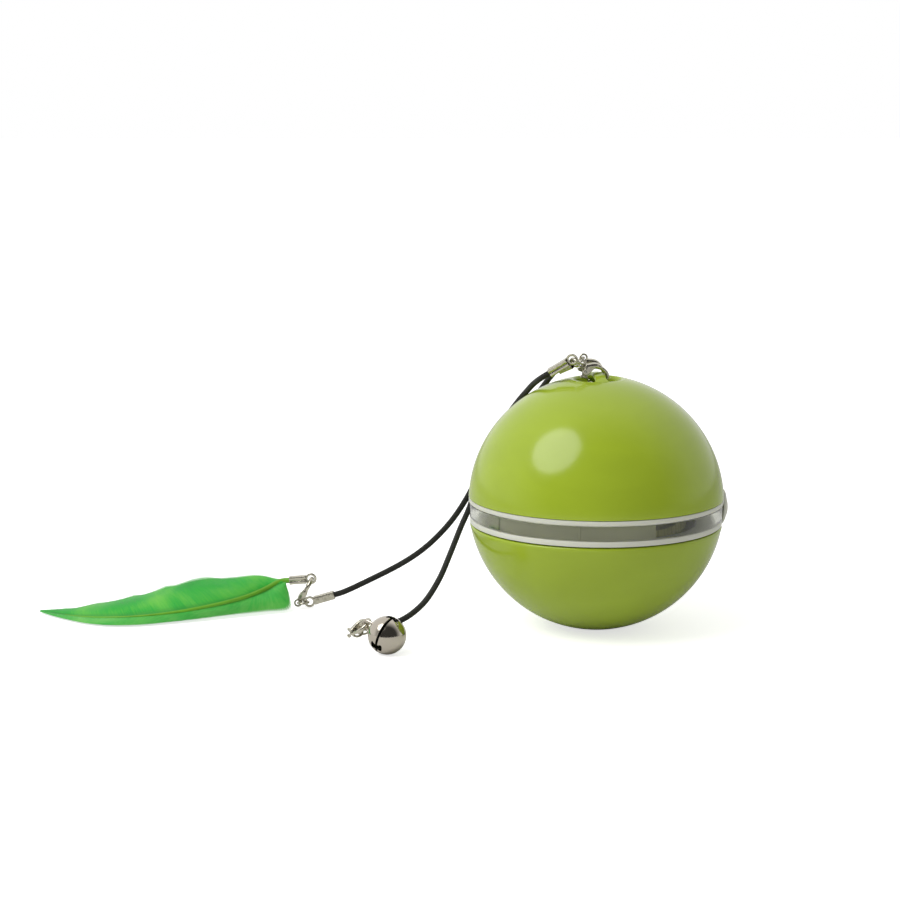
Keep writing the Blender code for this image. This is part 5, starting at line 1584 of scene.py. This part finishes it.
@dataclass
class Feather:
    """A dyed feather of barbs on a quill, with the crimp that it hangs by."""

    barbs: int = 210
    rows: int = 9
    sweep: float = 0.13
    quill_radius: float = 0.8 * MM
    crimp_length: float = 4.4 * MM
    aim: Vector = field(default_factory=lambda: Vector((-1, 0, -0.08)))
    route: Sequence[tuple[float, float, float]] = (
        (-86.3, 13.4, 6.0), (-92.1, 8.5, 4.8), (-101.7, 4.1, 3.5), (-108.9, 1.7, 2.8),
        (-116.3, 0.2, 2.3), (-123.9, 0.3, 1.9), (-130.8, 2.2, 1.5), (-137.2, 6.2, 1.1),
    )
    far_edge: Sequence[tuple[float, float, float]] = (
        (-80.6, 17.3, 7.9), (-83.2, 17.8, 8.1), (-87.0, 18.0, 9.0), (-95.0, 16.0, 9.0),
        (-103.3, 14.0, 8.8), (-109.6, 13.7, 7.5), (-115.8, 13.3, 5.5), (-122.5, 12.8, 4.0),
        (-130.1, 12.0, 2.6), (-137.0, 11.6, 1.5), (-144.8, 12.9, 0.7),
    )
    near_edge: Sequence[tuple[float, float, float]] = (
        (-80.4, 16.5, 6.6), (-79.4, 14.9, 4.0), (-79.2, 12.8, 1.2), (-84.9, 10.2, 1.0),
        (-94.5, 6.2, 1.0), (-103.4, 2.2, 0.8), (-109.6, -0.2, 0.7), (-116.0, -2.4, 0.6),
        (-123.3, -3.2, 0.6), (-130.1, -0.9, 0.5), (-137.1, 4.2, 0.5), (-141.0, 7.8, 0.5),
        (-144.8, 11.9, 0.5),
    )
    vane_start: tuple[float, float, float] = (-80.6, 16.9, 7.6)
    vane_tip: tuple[float, float, float] = (-144.8, 12.4, 0.6)
    steps_out: Sequence[tuple[float, float]] = (
        (0.0, 0.0), (0.27, -0.02), (0.34, 0.05), (0.455, -0.04), (0.487, 0.05), (0.584, -0.045),
        (0.617, 0.06), (0.695, -0.05), (0.76, 0.06), (0.864, -0.06), (0.896, 0.08), (1.0, 0.0),
    )

    @staticmethod
    def on_rail(rail: Sequence[Vector], share: float) -> Vector:
        """A point a share of the way along a rail of even steps."""
        spot = min(max(share, 0.0), 1.0) * (len(rail) - 1)
        index = min(int(spot), len(rail) - 2)
        return rail[index].lerp(rail[index + 1], spot - index)

    def stepped(self, share: float) -> float:
        """How far the far edge stands out in its steps, a share of the way along."""
        for (low, here), (high, there) in zip(self.steps_out, self.steps_out[1:]):
            if share <= high:
                return here + (there - here) * (share - low) / (high - low)
        return 0.0

    def vane(
        self, name: str, edge: Sequence[Vector], middle: Sequence[Vector], seed: float
    ) -> bpy.types.Object:
        """Lay one side of the feather, barb beside barb.

        Args:
            name: name of the side.
            edge: the rail that its barbs end on.
            middle: the rail of the quill that they start on.
            seed: a number that makes its raggedness its own.

        Returns:
            The side as thin barbs.
        """
        put_down()
        bpy.ops.mesh.primitive_grid_add(
            x_subdivisions=2 * self.barbs, y_subdivisions=self.rows, size=1, location=(0, 0, 0)
        )
        vane = named(bpy.context.active_object, name)
        bpy.ops.object.mode_set(mode="EDIT")
        bpy.ops.mesh.select_all(action="DESELECT")
        bpy.ops.mesh.select_mode(type="EDGE")
        sheet = bmesh.from_edit_mesh(vane.data)
        for line in sheet.edges:
            one, two = (vertex.co for vertex in line.verts)
            column = (one.x + 0.5) * self.barbs
            line.select = abs(one.x - two.x) < TOUCHING and abs(column - round(column)) < 0.1
        bmesh.update_edit_mesh(vane.data)
        bpy.ops.mesh.edge_split(type="EDGE")
        bpy.ops.mesh.select_mode(type="VERT")
        put_down()
        sheet = bmesh.new()
        sheet.from_mesh(vane.data)
        away = self.on_rail(edge, 0.4) - self.on_rail(middle, 0.4)
        run = self.on_rail(middle, 0.45) - self.on_rail(middle, 0.35)
        lift = away.cross(run).normalized()
        lift = lift if lift.z > 0 else -lift
        places = {}
        for vertex in sheet.verts:
            middles = [face.calc_center_median().x for face in vertex.link_faces]
            barb = int((sum(middles) / len(middles) + 0.5) * self.barbs)
            across = (vertex.co.x + 0.5) * self.barbs - barb
            places[vertex] = self.lay(barb, across, vertex.co.y + 0.5, edge, middle, lift, seed)
        for vertex, place in places.items():
            vertex.co = place
        sheet.to_mesh(vane.data)
        sheet.free()
        modify(vane, "SOLIDIFY", thickness=0.07 * MM, offset=0)
        smooth(vane, 60)
        return vane

    def reached(self, share: float, out: float) -> float:
        """How far along the rails a barb has got.

        Args:
            share: where it starts on the quill.
            out: how far out it has got.

        Returns:
            The share of the rails.
        """
        share = max(0.0, share)
        swept = self.sweep * min(1.0, share / 0.16) * max(0.0, 1 - share) ** 0.6
        return share + (min(1.0, share + swept) - share) * out**0.85

    def lay(
        self,
        barb: int,
        across: float,
        out: float,
        edge: Sequence[Vector],
        middle: Sequence[Vector],
        lift: Vector,
        seed: float,
    ) -> Vector:
        """The place of one point of one barb.

        Args:
            barb: which barb it is.
            across: from one side of the barb to the other.
            out: from the quill to the barb's end.
            edge: the rail that the barbs end on.
            middle: the rail that they start on.
            lift: the vane's upper side.
            seed: the vane's own raggedness.

        Returns:
            The point.
        """
        share = (barb + 0.5) / self.barbs
        ragged = noise.noise(Vector((share * 46, seed, 0)))
        fine = noise.noise(Vector((share * 290, seed, 5)))
        half_way = LENGTHWISE_STEPS // 2
        far = edge[half_way].z > middle[half_way].z
        steps = 1.1 * self.stepped(self.reached(share, 1.0)) if far else 0.0
        out_to = out * (1 + (0.012 * ragged + 0.012 * fine) * (1 - share) + steps)
        taper = 1.3 if out < 0.8 else 1.3 - 0.9 * (out - 0.8) / 0.2
        spot = self.reached(share + (across - 0.5) / self.barbs * taper, out_to)
        inner, outer = self.on_rail(middle, spot), self.on_rail(edge, spot)
        point = inner.lerp(outer, out_to)
        width = (outer - inner).length
        bulge = math.sin(math.pi * min(out_to, 1.0)) * 0.09 * width
        ripple = 0.022 * width * out_to * noise.noise(Vector((spot * 17, out_to * 2, seed)))
        ridge = 0.035 * MM * (1 - abs(across - 0.5) * 2)
        overlap = 0.03 * MM * (across - 0.5)
        sunk = 0.3 * MM * (1 - share) * max(0.0, 1 - out / 0.25)
        return point + lift * (bulge + ripple + ridge + overlap - sunk)

    def build(self, line: Line, palette: Palette) -> None:
        """Make crimp, quill and vane."""
        hang = Link(line.low_nose + line.low_aim.normalized() * HOOK_BEND * MM, line.low_side)
        crimp = Crimp(length=self.crimp_length)
        start, _ = crimp.build("feather_crimp", hang, self.aim, Body.FEATHER_END, palette, 1.0)
        stem = smooth_route([start[1], start[2], *typed(self.route)], 1.2 * MM)
        route = [start[0], *stem]
        count = len(route) - 1
        shares = [0.98 - 0.83 * min(1.0, (i / count) * 1.02) ** 0.75 for i in range(count + 1)]
        quill = wire("feather_quill", route, self.quill_radius, shares, roundness=4)
        smooth(quill, 60)
        rails = [
            smooth_route(typed(rail), count=LENGTHWISE_STEPS)
            for rail in (
                self.far_edge,
                (self.vane_start, *self.route, self.vane_tip),
                self.near_edge,
            )
        ]
        far = self.vane("feather_far_vane", rails[0], rails[1], 3.0)
        near = self.vane("feather_near_vane", rails[2], rails[1], 11.0)
        dress(quill, palette.quill, Body.FEATHER_END, Slot.FEATHER, "feather")
        dress(far, palette.vane, Body.FEATHER_END, Slot.FEATHER, "feather")
        dress(near, palette.near_vane, Body.FEATHER_END, Slot.FEATHER, "feather")


# Ball


@dataclass
class Ball:
    """Two lime shells round a light ring, with a lashing bar over a dish at the top.

    Heights are measured from the ball's middle.
    """

    radius: float = 32.5 * MM
    wall: float = 1.8 * MM
    foot: float = 4.5 * MM
    upper_edge: float = 1.65 * MM
    lower_edge: float = -5.3 * MM
    upper_rim: tuple[float, float] = (0.35 * MM, 1.5 * MM)
    lower_rim: tuple[float, float] = (-5.0 * MM, -3.55 * MM)
    band: tuple[float, float] = (-3.4 * MM, 0.2 * MM)
    rim_inset: float = 0.06 * MM
    band_inset: float = 0.28 * MM
    dish: float = 6.0 * MM
    dish_depth: float = 4.2 * MM
    lip: float = 0.5 * MM
    edge_round: float = 0.5 * MM
    bar_turn: float = math.radians(8)
    bar_half: float = 1.4 * MM
    bar_thick: float = 1.6 * MM
    bar_crown: float = 1.0 * MM
    bar_root: float = 1.0 * MM
    bar_drop: float = 0.25 * MM
    sleeve: float = 28.0 * MM
    sleeve_wall: float = 1.0 * MM
    sleeve_span: tuple[float, float] = (-3.85 * MM, 4.15 * MM)
    window: tuple[float, float] = (math.radians(27.5), math.radians(150))
    button_turn: float = math.radians(95)
    button_radius: float = 3.1 * MM
    button_height: float = -1.6 * MM
    button_proud: float = 1.5 * MM
    button_play: float = 0.35 * MM
    bezel_radius: float = 4.6 * MM
    bezel_proud: float = 0.75 * MM
    stem: float = 1.2 * MM
    stem_flange: float = 1.9 * MM
    cap_lip: tuple[float, float] = (0.7 * MM, 1.0 * MM)
    collar_play: float = 0.3 * MM
    collar_wall: float = 1.2 * MM
    collar_height: float = 2.9 * MM
    seat_reach: float = 2.3 * MM
    boss_radii: tuple[float, float] = (2.4 * MM, 2.0 * MM)

    @property
    def height(self) -> float:
        """Height of the ball's middle over the floor."""
        return on_sphere(self.radius, self.foot)

    @property
    def middle(self) -> Matrix:
        """The place of the ball's middle."""
        return Matrix.Translation((0, 0, self.height))

    def bar_axis(self) -> Vector:
        """Direction of the lashing bar."""
        return Vector((-math.sin(self.bar_turn), math.cos(self.bar_turn), 0))

    def bar_fall(self) -> float:
        """How fast the bar falls from its crown."""
        reach = self.dish + self.bar_root
        root = on_sphere(self.radius, reach) - self.bar_drop
        return (self.radius + self.bar_crown - root) / reach**2

    def bar_middle(self, distance: float = 0.0) -> Vector:
        """A point on the bar's own middle line."""
        rise = self.radius + self.bar_crown - self.bar_thick / 2 - self.bar_fall() * distance**2
        return Vector((0, 0, self.height + rise)) + self.bar_axis() * distance

    def lashing_bar(self) -> bpy.types.Object:
        """The arched strap over the dish, which flares where it grows out of the shell."""
        put_down()
        bpy.ops.mesh.primitive_cube_add(size=1, location=(0, 0, 0))
        bar = named(bpy.context.active_object, "lashing_bar")
        take_edit(bar)
        bpy.ops.mesh.subdivide(number_cuts=15)
        put_down()
        reach = self.dish + self.bar_root + 0.3 * MM
        for vertex in bar.data.vertices:
            s, w, h = (2 * part for part in vertex.co)
            flare = max(0.0, (abs(s) - 0.55) / 0.45) ** 2
            square = max(abs(w), abs(h))
            around = Vector((w, h)).normalized() * square if square > 0 else Vector((0, 0))
            w, h = around.lerp(Vector((w, h)), 0.55)
            distance = s * reach
            crown = self.radius + self.bar_crown - self.bar_fall() * distance**2
            thick = self.bar_thick * (1 + 0.5 * flare)
            across = w * self.bar_half * (1.02 + 1.1 * flare)
            rise = crown - thick / 2 + h * thick / 2 - 0.12 * MM * flare
            vertex.co = Vector((distance, across, rise))
        turn = Matrix((self.bar_axis(), UP.cross(self.bar_axis()), UP)).transposed().to_4x4()
        return settle(bar, turn)

    def upper_shell(self, palette: Palette) -> None:
        """Mould the upper shell with its dish, its lip and its lashing bar."""
        floor = self.radius - self.dish_depth
        lip = self.dish + self.lip
        lip_height = on_sphere(self.radius, lip)
        rows = ((0.3, 0.1), (0.55, 0.42), (0.76, 1.1), (0.9, 2.1), (0.975, 3.05))
        knots = [Vector((self.dish * share, 0, floor + rise * MM)) for share, rise in rows]
        brim = [Vector((self.dish * 1.02, 0, lip_height - 0.14 * MM)), Vector((lip, 0, lip_height))]
        bowl = smooth_route([Vector((0, 0, floor)), *knots, *brim], count=34)
        profile = [(max(0.0, point.x), point.z) for point in bowl]
        profile[0] = (0, floor)
        crisp = 0.1 * MM
        edge = math.acos((self.upper_edge + crisp) / self.radius)
        profile += arc(self.radius, math.asin(lip / self.radius), edge, 70)[1:]
        rim = on_sphere(self.radius, self.upper_edge + crisp)
        profile += corner((rim - crisp, self.upper_edge + crisp), crisp, -8, -90, 3)
        inner = self.radius - self.wall
        reach, thick = self.cap_lip
        lip_top = self.upper_edge + thick
        wall = on_sphere(inner, lip_top)
        profile += [(wall - reach, self.upper_edge), (wall - reach, lip_top)]
        profile += arc(inner, math.acos(lip_top / inner), math.asin((lip + self.wall) / inner), 24)
        profile += [(self.dish * 0.9 + self.wall * 0.8, floor + 1.1 * MM)]
        profile += [(self.dish * 0.6, floor - self.wall * 0.9), (0, floor - self.wall)]
        shell = turned("upper_shell_moulding", profile)
        shell = join([shell, self.lashing_bar()], "upper_shell_moulding")
        settle(shell, self.middle)
        smooth(shell, 40)
        dress(shell, palette.lime, Body.CAP, Slot.LIME, "upper_shell")

    def lower_shell(self, palette: Palette) -> None:
        """Mould the lower shell with its flat foot and the bosses inside."""
        inner = self.radius - self.wall
        rim = on_sphere(self.radius, self.lower_edge)
        start = math.acos((self.lower_edge - self.edge_round) / self.radius)
        foot = math.pi - math.asin((self.foot + 0.15 * MM) / self.radius)
        profile = [(0, -inner)]
        profile += arc(inner, math.pi, math.acos(self.lower_edge / inner), 32)[1:]
        middle = (rim - self.edge_round * 1.05, self.lower_edge - self.edge_round)
        profile += corner(middle, self.edge_round, 90, 4, 5)
        profile += arc(self.radius, start, foot, 60)[1:]
        profile += [(self.foot - 0.2 * MM, -self.height), (0, -self.height)]
        shell = turned("lower_shell_moulding", profile)
        parts = [shell]
        for index in range(3):
            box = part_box(f"carrier_screw_{index + 1}")
            axis = (box[0] + box[1]) / 2
            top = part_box("carrier_tray")[0].z - 0.3 * MM - self.height
            parts.append(self.boss(self.boss_radii[0], Vector((axis.x, axis.y, 0)), top))
        parts.append(self.boss(self.boss_radii[1], Vector((0, 0, 0)), top))
        shell = join(parts, "lower_shell_moulding")
        settle(shell, self.middle)
        smooth(shell, 40)
        dress(shell, palette.lime, Body.BASE, Slot.LIME, "lower_shell")

    def boss(self, radius: float, spot: Vector, top: float) -> bpy.types.Object:
        """A boss that grows out of the shell's wall.

        Args:
            radius: its radius.
            spot: where it stands.
            top: height of its top.

        Returns:
            The boss.
        """
        boss = rod("boss", radius, top - 1 * MM, top, 32)
        core = self.radius - self.wall / 2
        for vertex in boss.data.vertices:
            vertex.co += spot
            if vertex.co.z < top - 0.5 * MM:
                vertex.co.z = -on_sphere(core, Vector((vertex.co.x, vertex.co.y)).length)
        bevel(boss, 0.1 * MM, 2)
        return boss

    def button_place(self) -> Matrix:
        """The button's place, with Z out of the ball."""
        out = Vector((math.sin(self.button_turn), -math.cos(self.button_turn), 0))
        return along(Vector((0, 0, self.height + self.button_height)), UP, out)

    def pocket(self) -> bpy.types.Object:
        """The cutter for the button's pocket in the rims."""
        cutter = rod("pocket", self.button_radius + self.button_play, 31.6 * MM, 34 * MM, 64)
        return settle(cutter, self.button_place())

    def bezel(self) -> bpy.types.Object:
        """The collar that the lower rim bulges into round the button, wrapped on the ball."""
        gap = 0.07 * MM
        back = 31.75 * MM
        inner, foot = self.button_radius + 0.12 * MM, self.button_radius + 0.3 * MM
        high = self.radius + self.bezel_proud
        low = on_sphere(self.radius, self.bezel_radius) + gap
        seat = on_sphere(self.radius, foot) + gap
        profile = [(foot, back), (inner, back)]
        for step in range(10):
            turn = math.pi / 2 * step / 9
            across = inner + (self.bezel_radius - inner) * math.sin(turn)
            profile.append((across, low + 0.1 * MM + (high - low - 0.1 * MM) * math.cos(turn)))
        profile += [(self.bezel_radius, low), (foot, seat), (foot, back)]
        bezel = turned("bezel", profile, 64)
        for vertex in bezel.data.vertices:
            spot = vertex.co
            level = on_sphere(self.radius, math.hypot(spot.x, spot.y))
            wrapped = on_sphere(self.radius, math.hypot(spot.x + self.button_height, spot.y))
            spot.z += wrapped - level
        return settle(bezel, self.button_place())

    def rims(self, palette: Palette) -> None:
        """Mould the two pale rims with their collars, the button's pocket and the lower rim's
        bezel.
        """
        soft = 0.22 * MM
        inner = self.radius - self.wall
        reach, thick = self.cap_lip
        collar = on_sphere(inner, self.upper_edge + thick) - reach - self.collar_play
        tall, wall = self.collar_height, self.collar_wall
        base, top = self.upper_rim
        outer = on_sphere(self.radius, top) - self.rim_inset
        crisp = 0.08 * MM
        profile = [(collar, top + tall), (collar, top)]
        profile += corner((outer - crisp, top - crisp), crisp, 90, 0)
        profile += corner((outer - soft, base + soft), soft, 0, -90)
        profile += [(collar - wall, base), (collar - wall, top + tall)]
        rim = settle(turned("upper_rim_moulding", [*profile, profile[0]]), self.middle)
        cut(rim, self.pocket())
        smooth(rim, 40)
        dress(rim, palette.rim, Body.BASE, Slot.WHITE, "upper_rim")
        base, top = self.lower_rim
        outer = on_sphere(self.radius, base) - self.rim_inset
        collar_base = base - tall
        collar = on_sphere(inner, collar_base) - self.collar_play
        ledge = top - 1.45 * MM + 1.0 * MM
        inside = self.sleeve - self.sleeve_wall - 1.1 * MM
        seat = outer - self.seat_reach
        profile = [(seat, top)]
        profile += corner((outer - soft, top - soft), soft, 90, 0)
        profile += corner((outer - soft, base + soft), soft, 0, -90)
        profile += [(collar, base), (collar, collar_base), (collar - wall, collar_base)]
        profile += [(collar - wall, base), (inside, base), (inside, ledge)]
        profile += [(seat, ledge), (seat, top)]
        rim = settle(turned("lower_rim_moulding", profile), self.middle)
        cut(rim, self.pocket())
        rim = join([rim, self.bezel()], "lower_rim_moulding")
        smooth(rim, 40)
        dress(rim, palette.rim, Body.BASE, Slot.WHITE, "lower_rim")

    def ring(self, palette: Palette) -> None:
        """The clear band and the ribbed sleeve with its open stretch."""
        base, top = self.band
        outer = on_sphere(self.radius, self.upper_rim[1]) - self.rim_inset - self.band_inset
        soft = 0.15 * MM
        profile = corner((outer - soft, top - soft), soft, 90, 0)
        profile += corner((outer - soft, base + soft), soft, 0, -90)
        inside = on_sphere(self.radius, self.upper_rim[1]) - 2.2 * MM
        profile += [(inside, base), (inside, top)]
        band = settle(turned("clear_band_moulding", [*profile, profile[0]]), self.middle)
        cut(band, settle(rod("stem_hole", 1.5 * MM, 28 * MM, 32.5 * MM), self.button_place()))
        cut(band, self.pocket())
        smooth(band, 40)
        dress(band, palette.band, Body.BASE, Slot.CLEAR, "light_band")
        low, high = self.sleeve_span
        profile = [
            (self.sleeve, low), (self.sleeve, high), (self.sleeve - self.sleeve_wall, high),
            (self.sleeve - self.sleeve_wall, low), (self.sleeve, low),
        ]
        span = math.tau - (self.window[1] - self.window[0])
        sleeve = turned("sleeve_wall", profile, 96, span)
        take_edit(sleeve)
        bpy.ops.mesh.select_all(action="DESELECT")
        bpy.ops.mesh.select_mode(type="EDGE")
        bpy.ops.mesh.select_non_manifold()
        bpy.ops.mesh.fill()
        bpy.ops.mesh.select_mode(type="VERT")
        weld(sleeve)
        settle(sleeve, Matrix.Rotation(self.window[0] - math.pi / 2, 4, "Z"))
        parts = [sleeve]
        for index in range(5):
            turn = math.radians(-11.5 - 49 * index)
            rib = block(
                "rib",
                Vector((-0.25 * MM, -self.sleeve - 0.35 * MM, low)),
                Vector((0.25 * MM, -self.sleeve + 0.3 * MM, high)),
                0.1 * MM,
            )
            parts.append(settle(rib, Matrix.Rotation(turn, 4, "Z")))
        sleeve = settle(join(parts, "sleeve_moulding"), self.middle)
        smooth(sleeve, 40)
        dress(sleeve, palette.sleeve, Body.BASE, Slot.FROSTED, "light_diffuser")

    def button(self, palette: Palette) -> None:
        """The domed button with its stem."""
        front = self.radius + self.button_proud
        rise = self.button_proud * 0.75
        back = front - rise - 0.5 * MM
        profile = [(0, front)]
        for step in range(1, 13):
            turn = math.pi / 2 * step / 12
            height = front - rise * (1 - math.cos(turn))
            profile.append((self.button_radius * math.sin(turn), height))
        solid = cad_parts["mode_button"]
        inward = self.button_place().inverted() @ solid.matrix_world
        tip = min((inward @ vertex.co).z for vertex in solid.data.vertices)
        profile += [
            (self.button_radius, back + 0.1 * MM), (self.button_radius - 0.1 * MM, back),
            (self.stem, back), (self.stem, 30.0 * MM), (self.stem_flange, 30.0 * MM),
            (self.stem_flange, 29.4 * MM), (self.stem, 29.4 * MM), (self.stem, tip), (0, tip),
        ]
        dome = settle(turned("button_moulding", profile, 64), self.button_place())
        smooth(dome, 40)
        dress(dome, palette.rubber, Body.BUTTON, Slot.CLEAR, "mode_button")

    def insides(self, palette: Palette) -> None:
        """Finish the solids inside the ball as they are."""
        finishes: dict[str, bpy.types.Material] = {
            "carrier_tray": palette.lime,
            "circuit_board": palette.board,
            "tact_switch": palette.black,
            "switch_plunger": palette.rim,
            "motion_switch": palette.steel,
            "control_chip": palette.black,
            "ballast_weight": palette.steel,
            "cell_holder": palette.lime,
            "negative_contact": palette.cells,
            "positive_contact": palette.cells,
            "battery_door": palette.black,
            "battery_door_screw": palette.steel,
        }
        for index in range(1, 4):
            finishes[f"carrier_screw_{index}"] = palette.steel
            finishes[f"board_screw_{index}"] = palette.steel
            finishes[f"led_{index}"] = palette.lens
            finishes[f"button_cell_{index}"] = palette.cells
        for node, finish in finishes.items():
            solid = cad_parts[node]
            for index in range(max(1, len(solid.material_slots))):
                if solid.material_slots:
                    solid.material_slots[index].material = finish
                else:
                    solid.data.materials.append(finish)
        LOG.info("finished %d solids inside the ball", len(finishes))

    def build(self, palette: Palette) -> None:
        """Make the whole ball."""
        self.upper_shell(palette)
        self.lower_shell(palette)
        self.rims(palette)
        self.ring(palette)
        self.button(palette)
        self.insides(palette)


def main() -> None:
    """Build everything in order."""
    logging.basicConfig(level=logging.INFO, format="%(name)s: %(message)s")
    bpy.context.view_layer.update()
    Studio().build()
    palette = Palette.mixed()
    ball = Ball()
    feather_side = feather_line()
    feather_side.build(ball, palette)
    bell_line().build(ball, palette)
    ball.build(palette)
    Bell().build(palette)
    Feather().build(feather_side, palette)
    put_down()


if __name__ == "__main__":
    main()
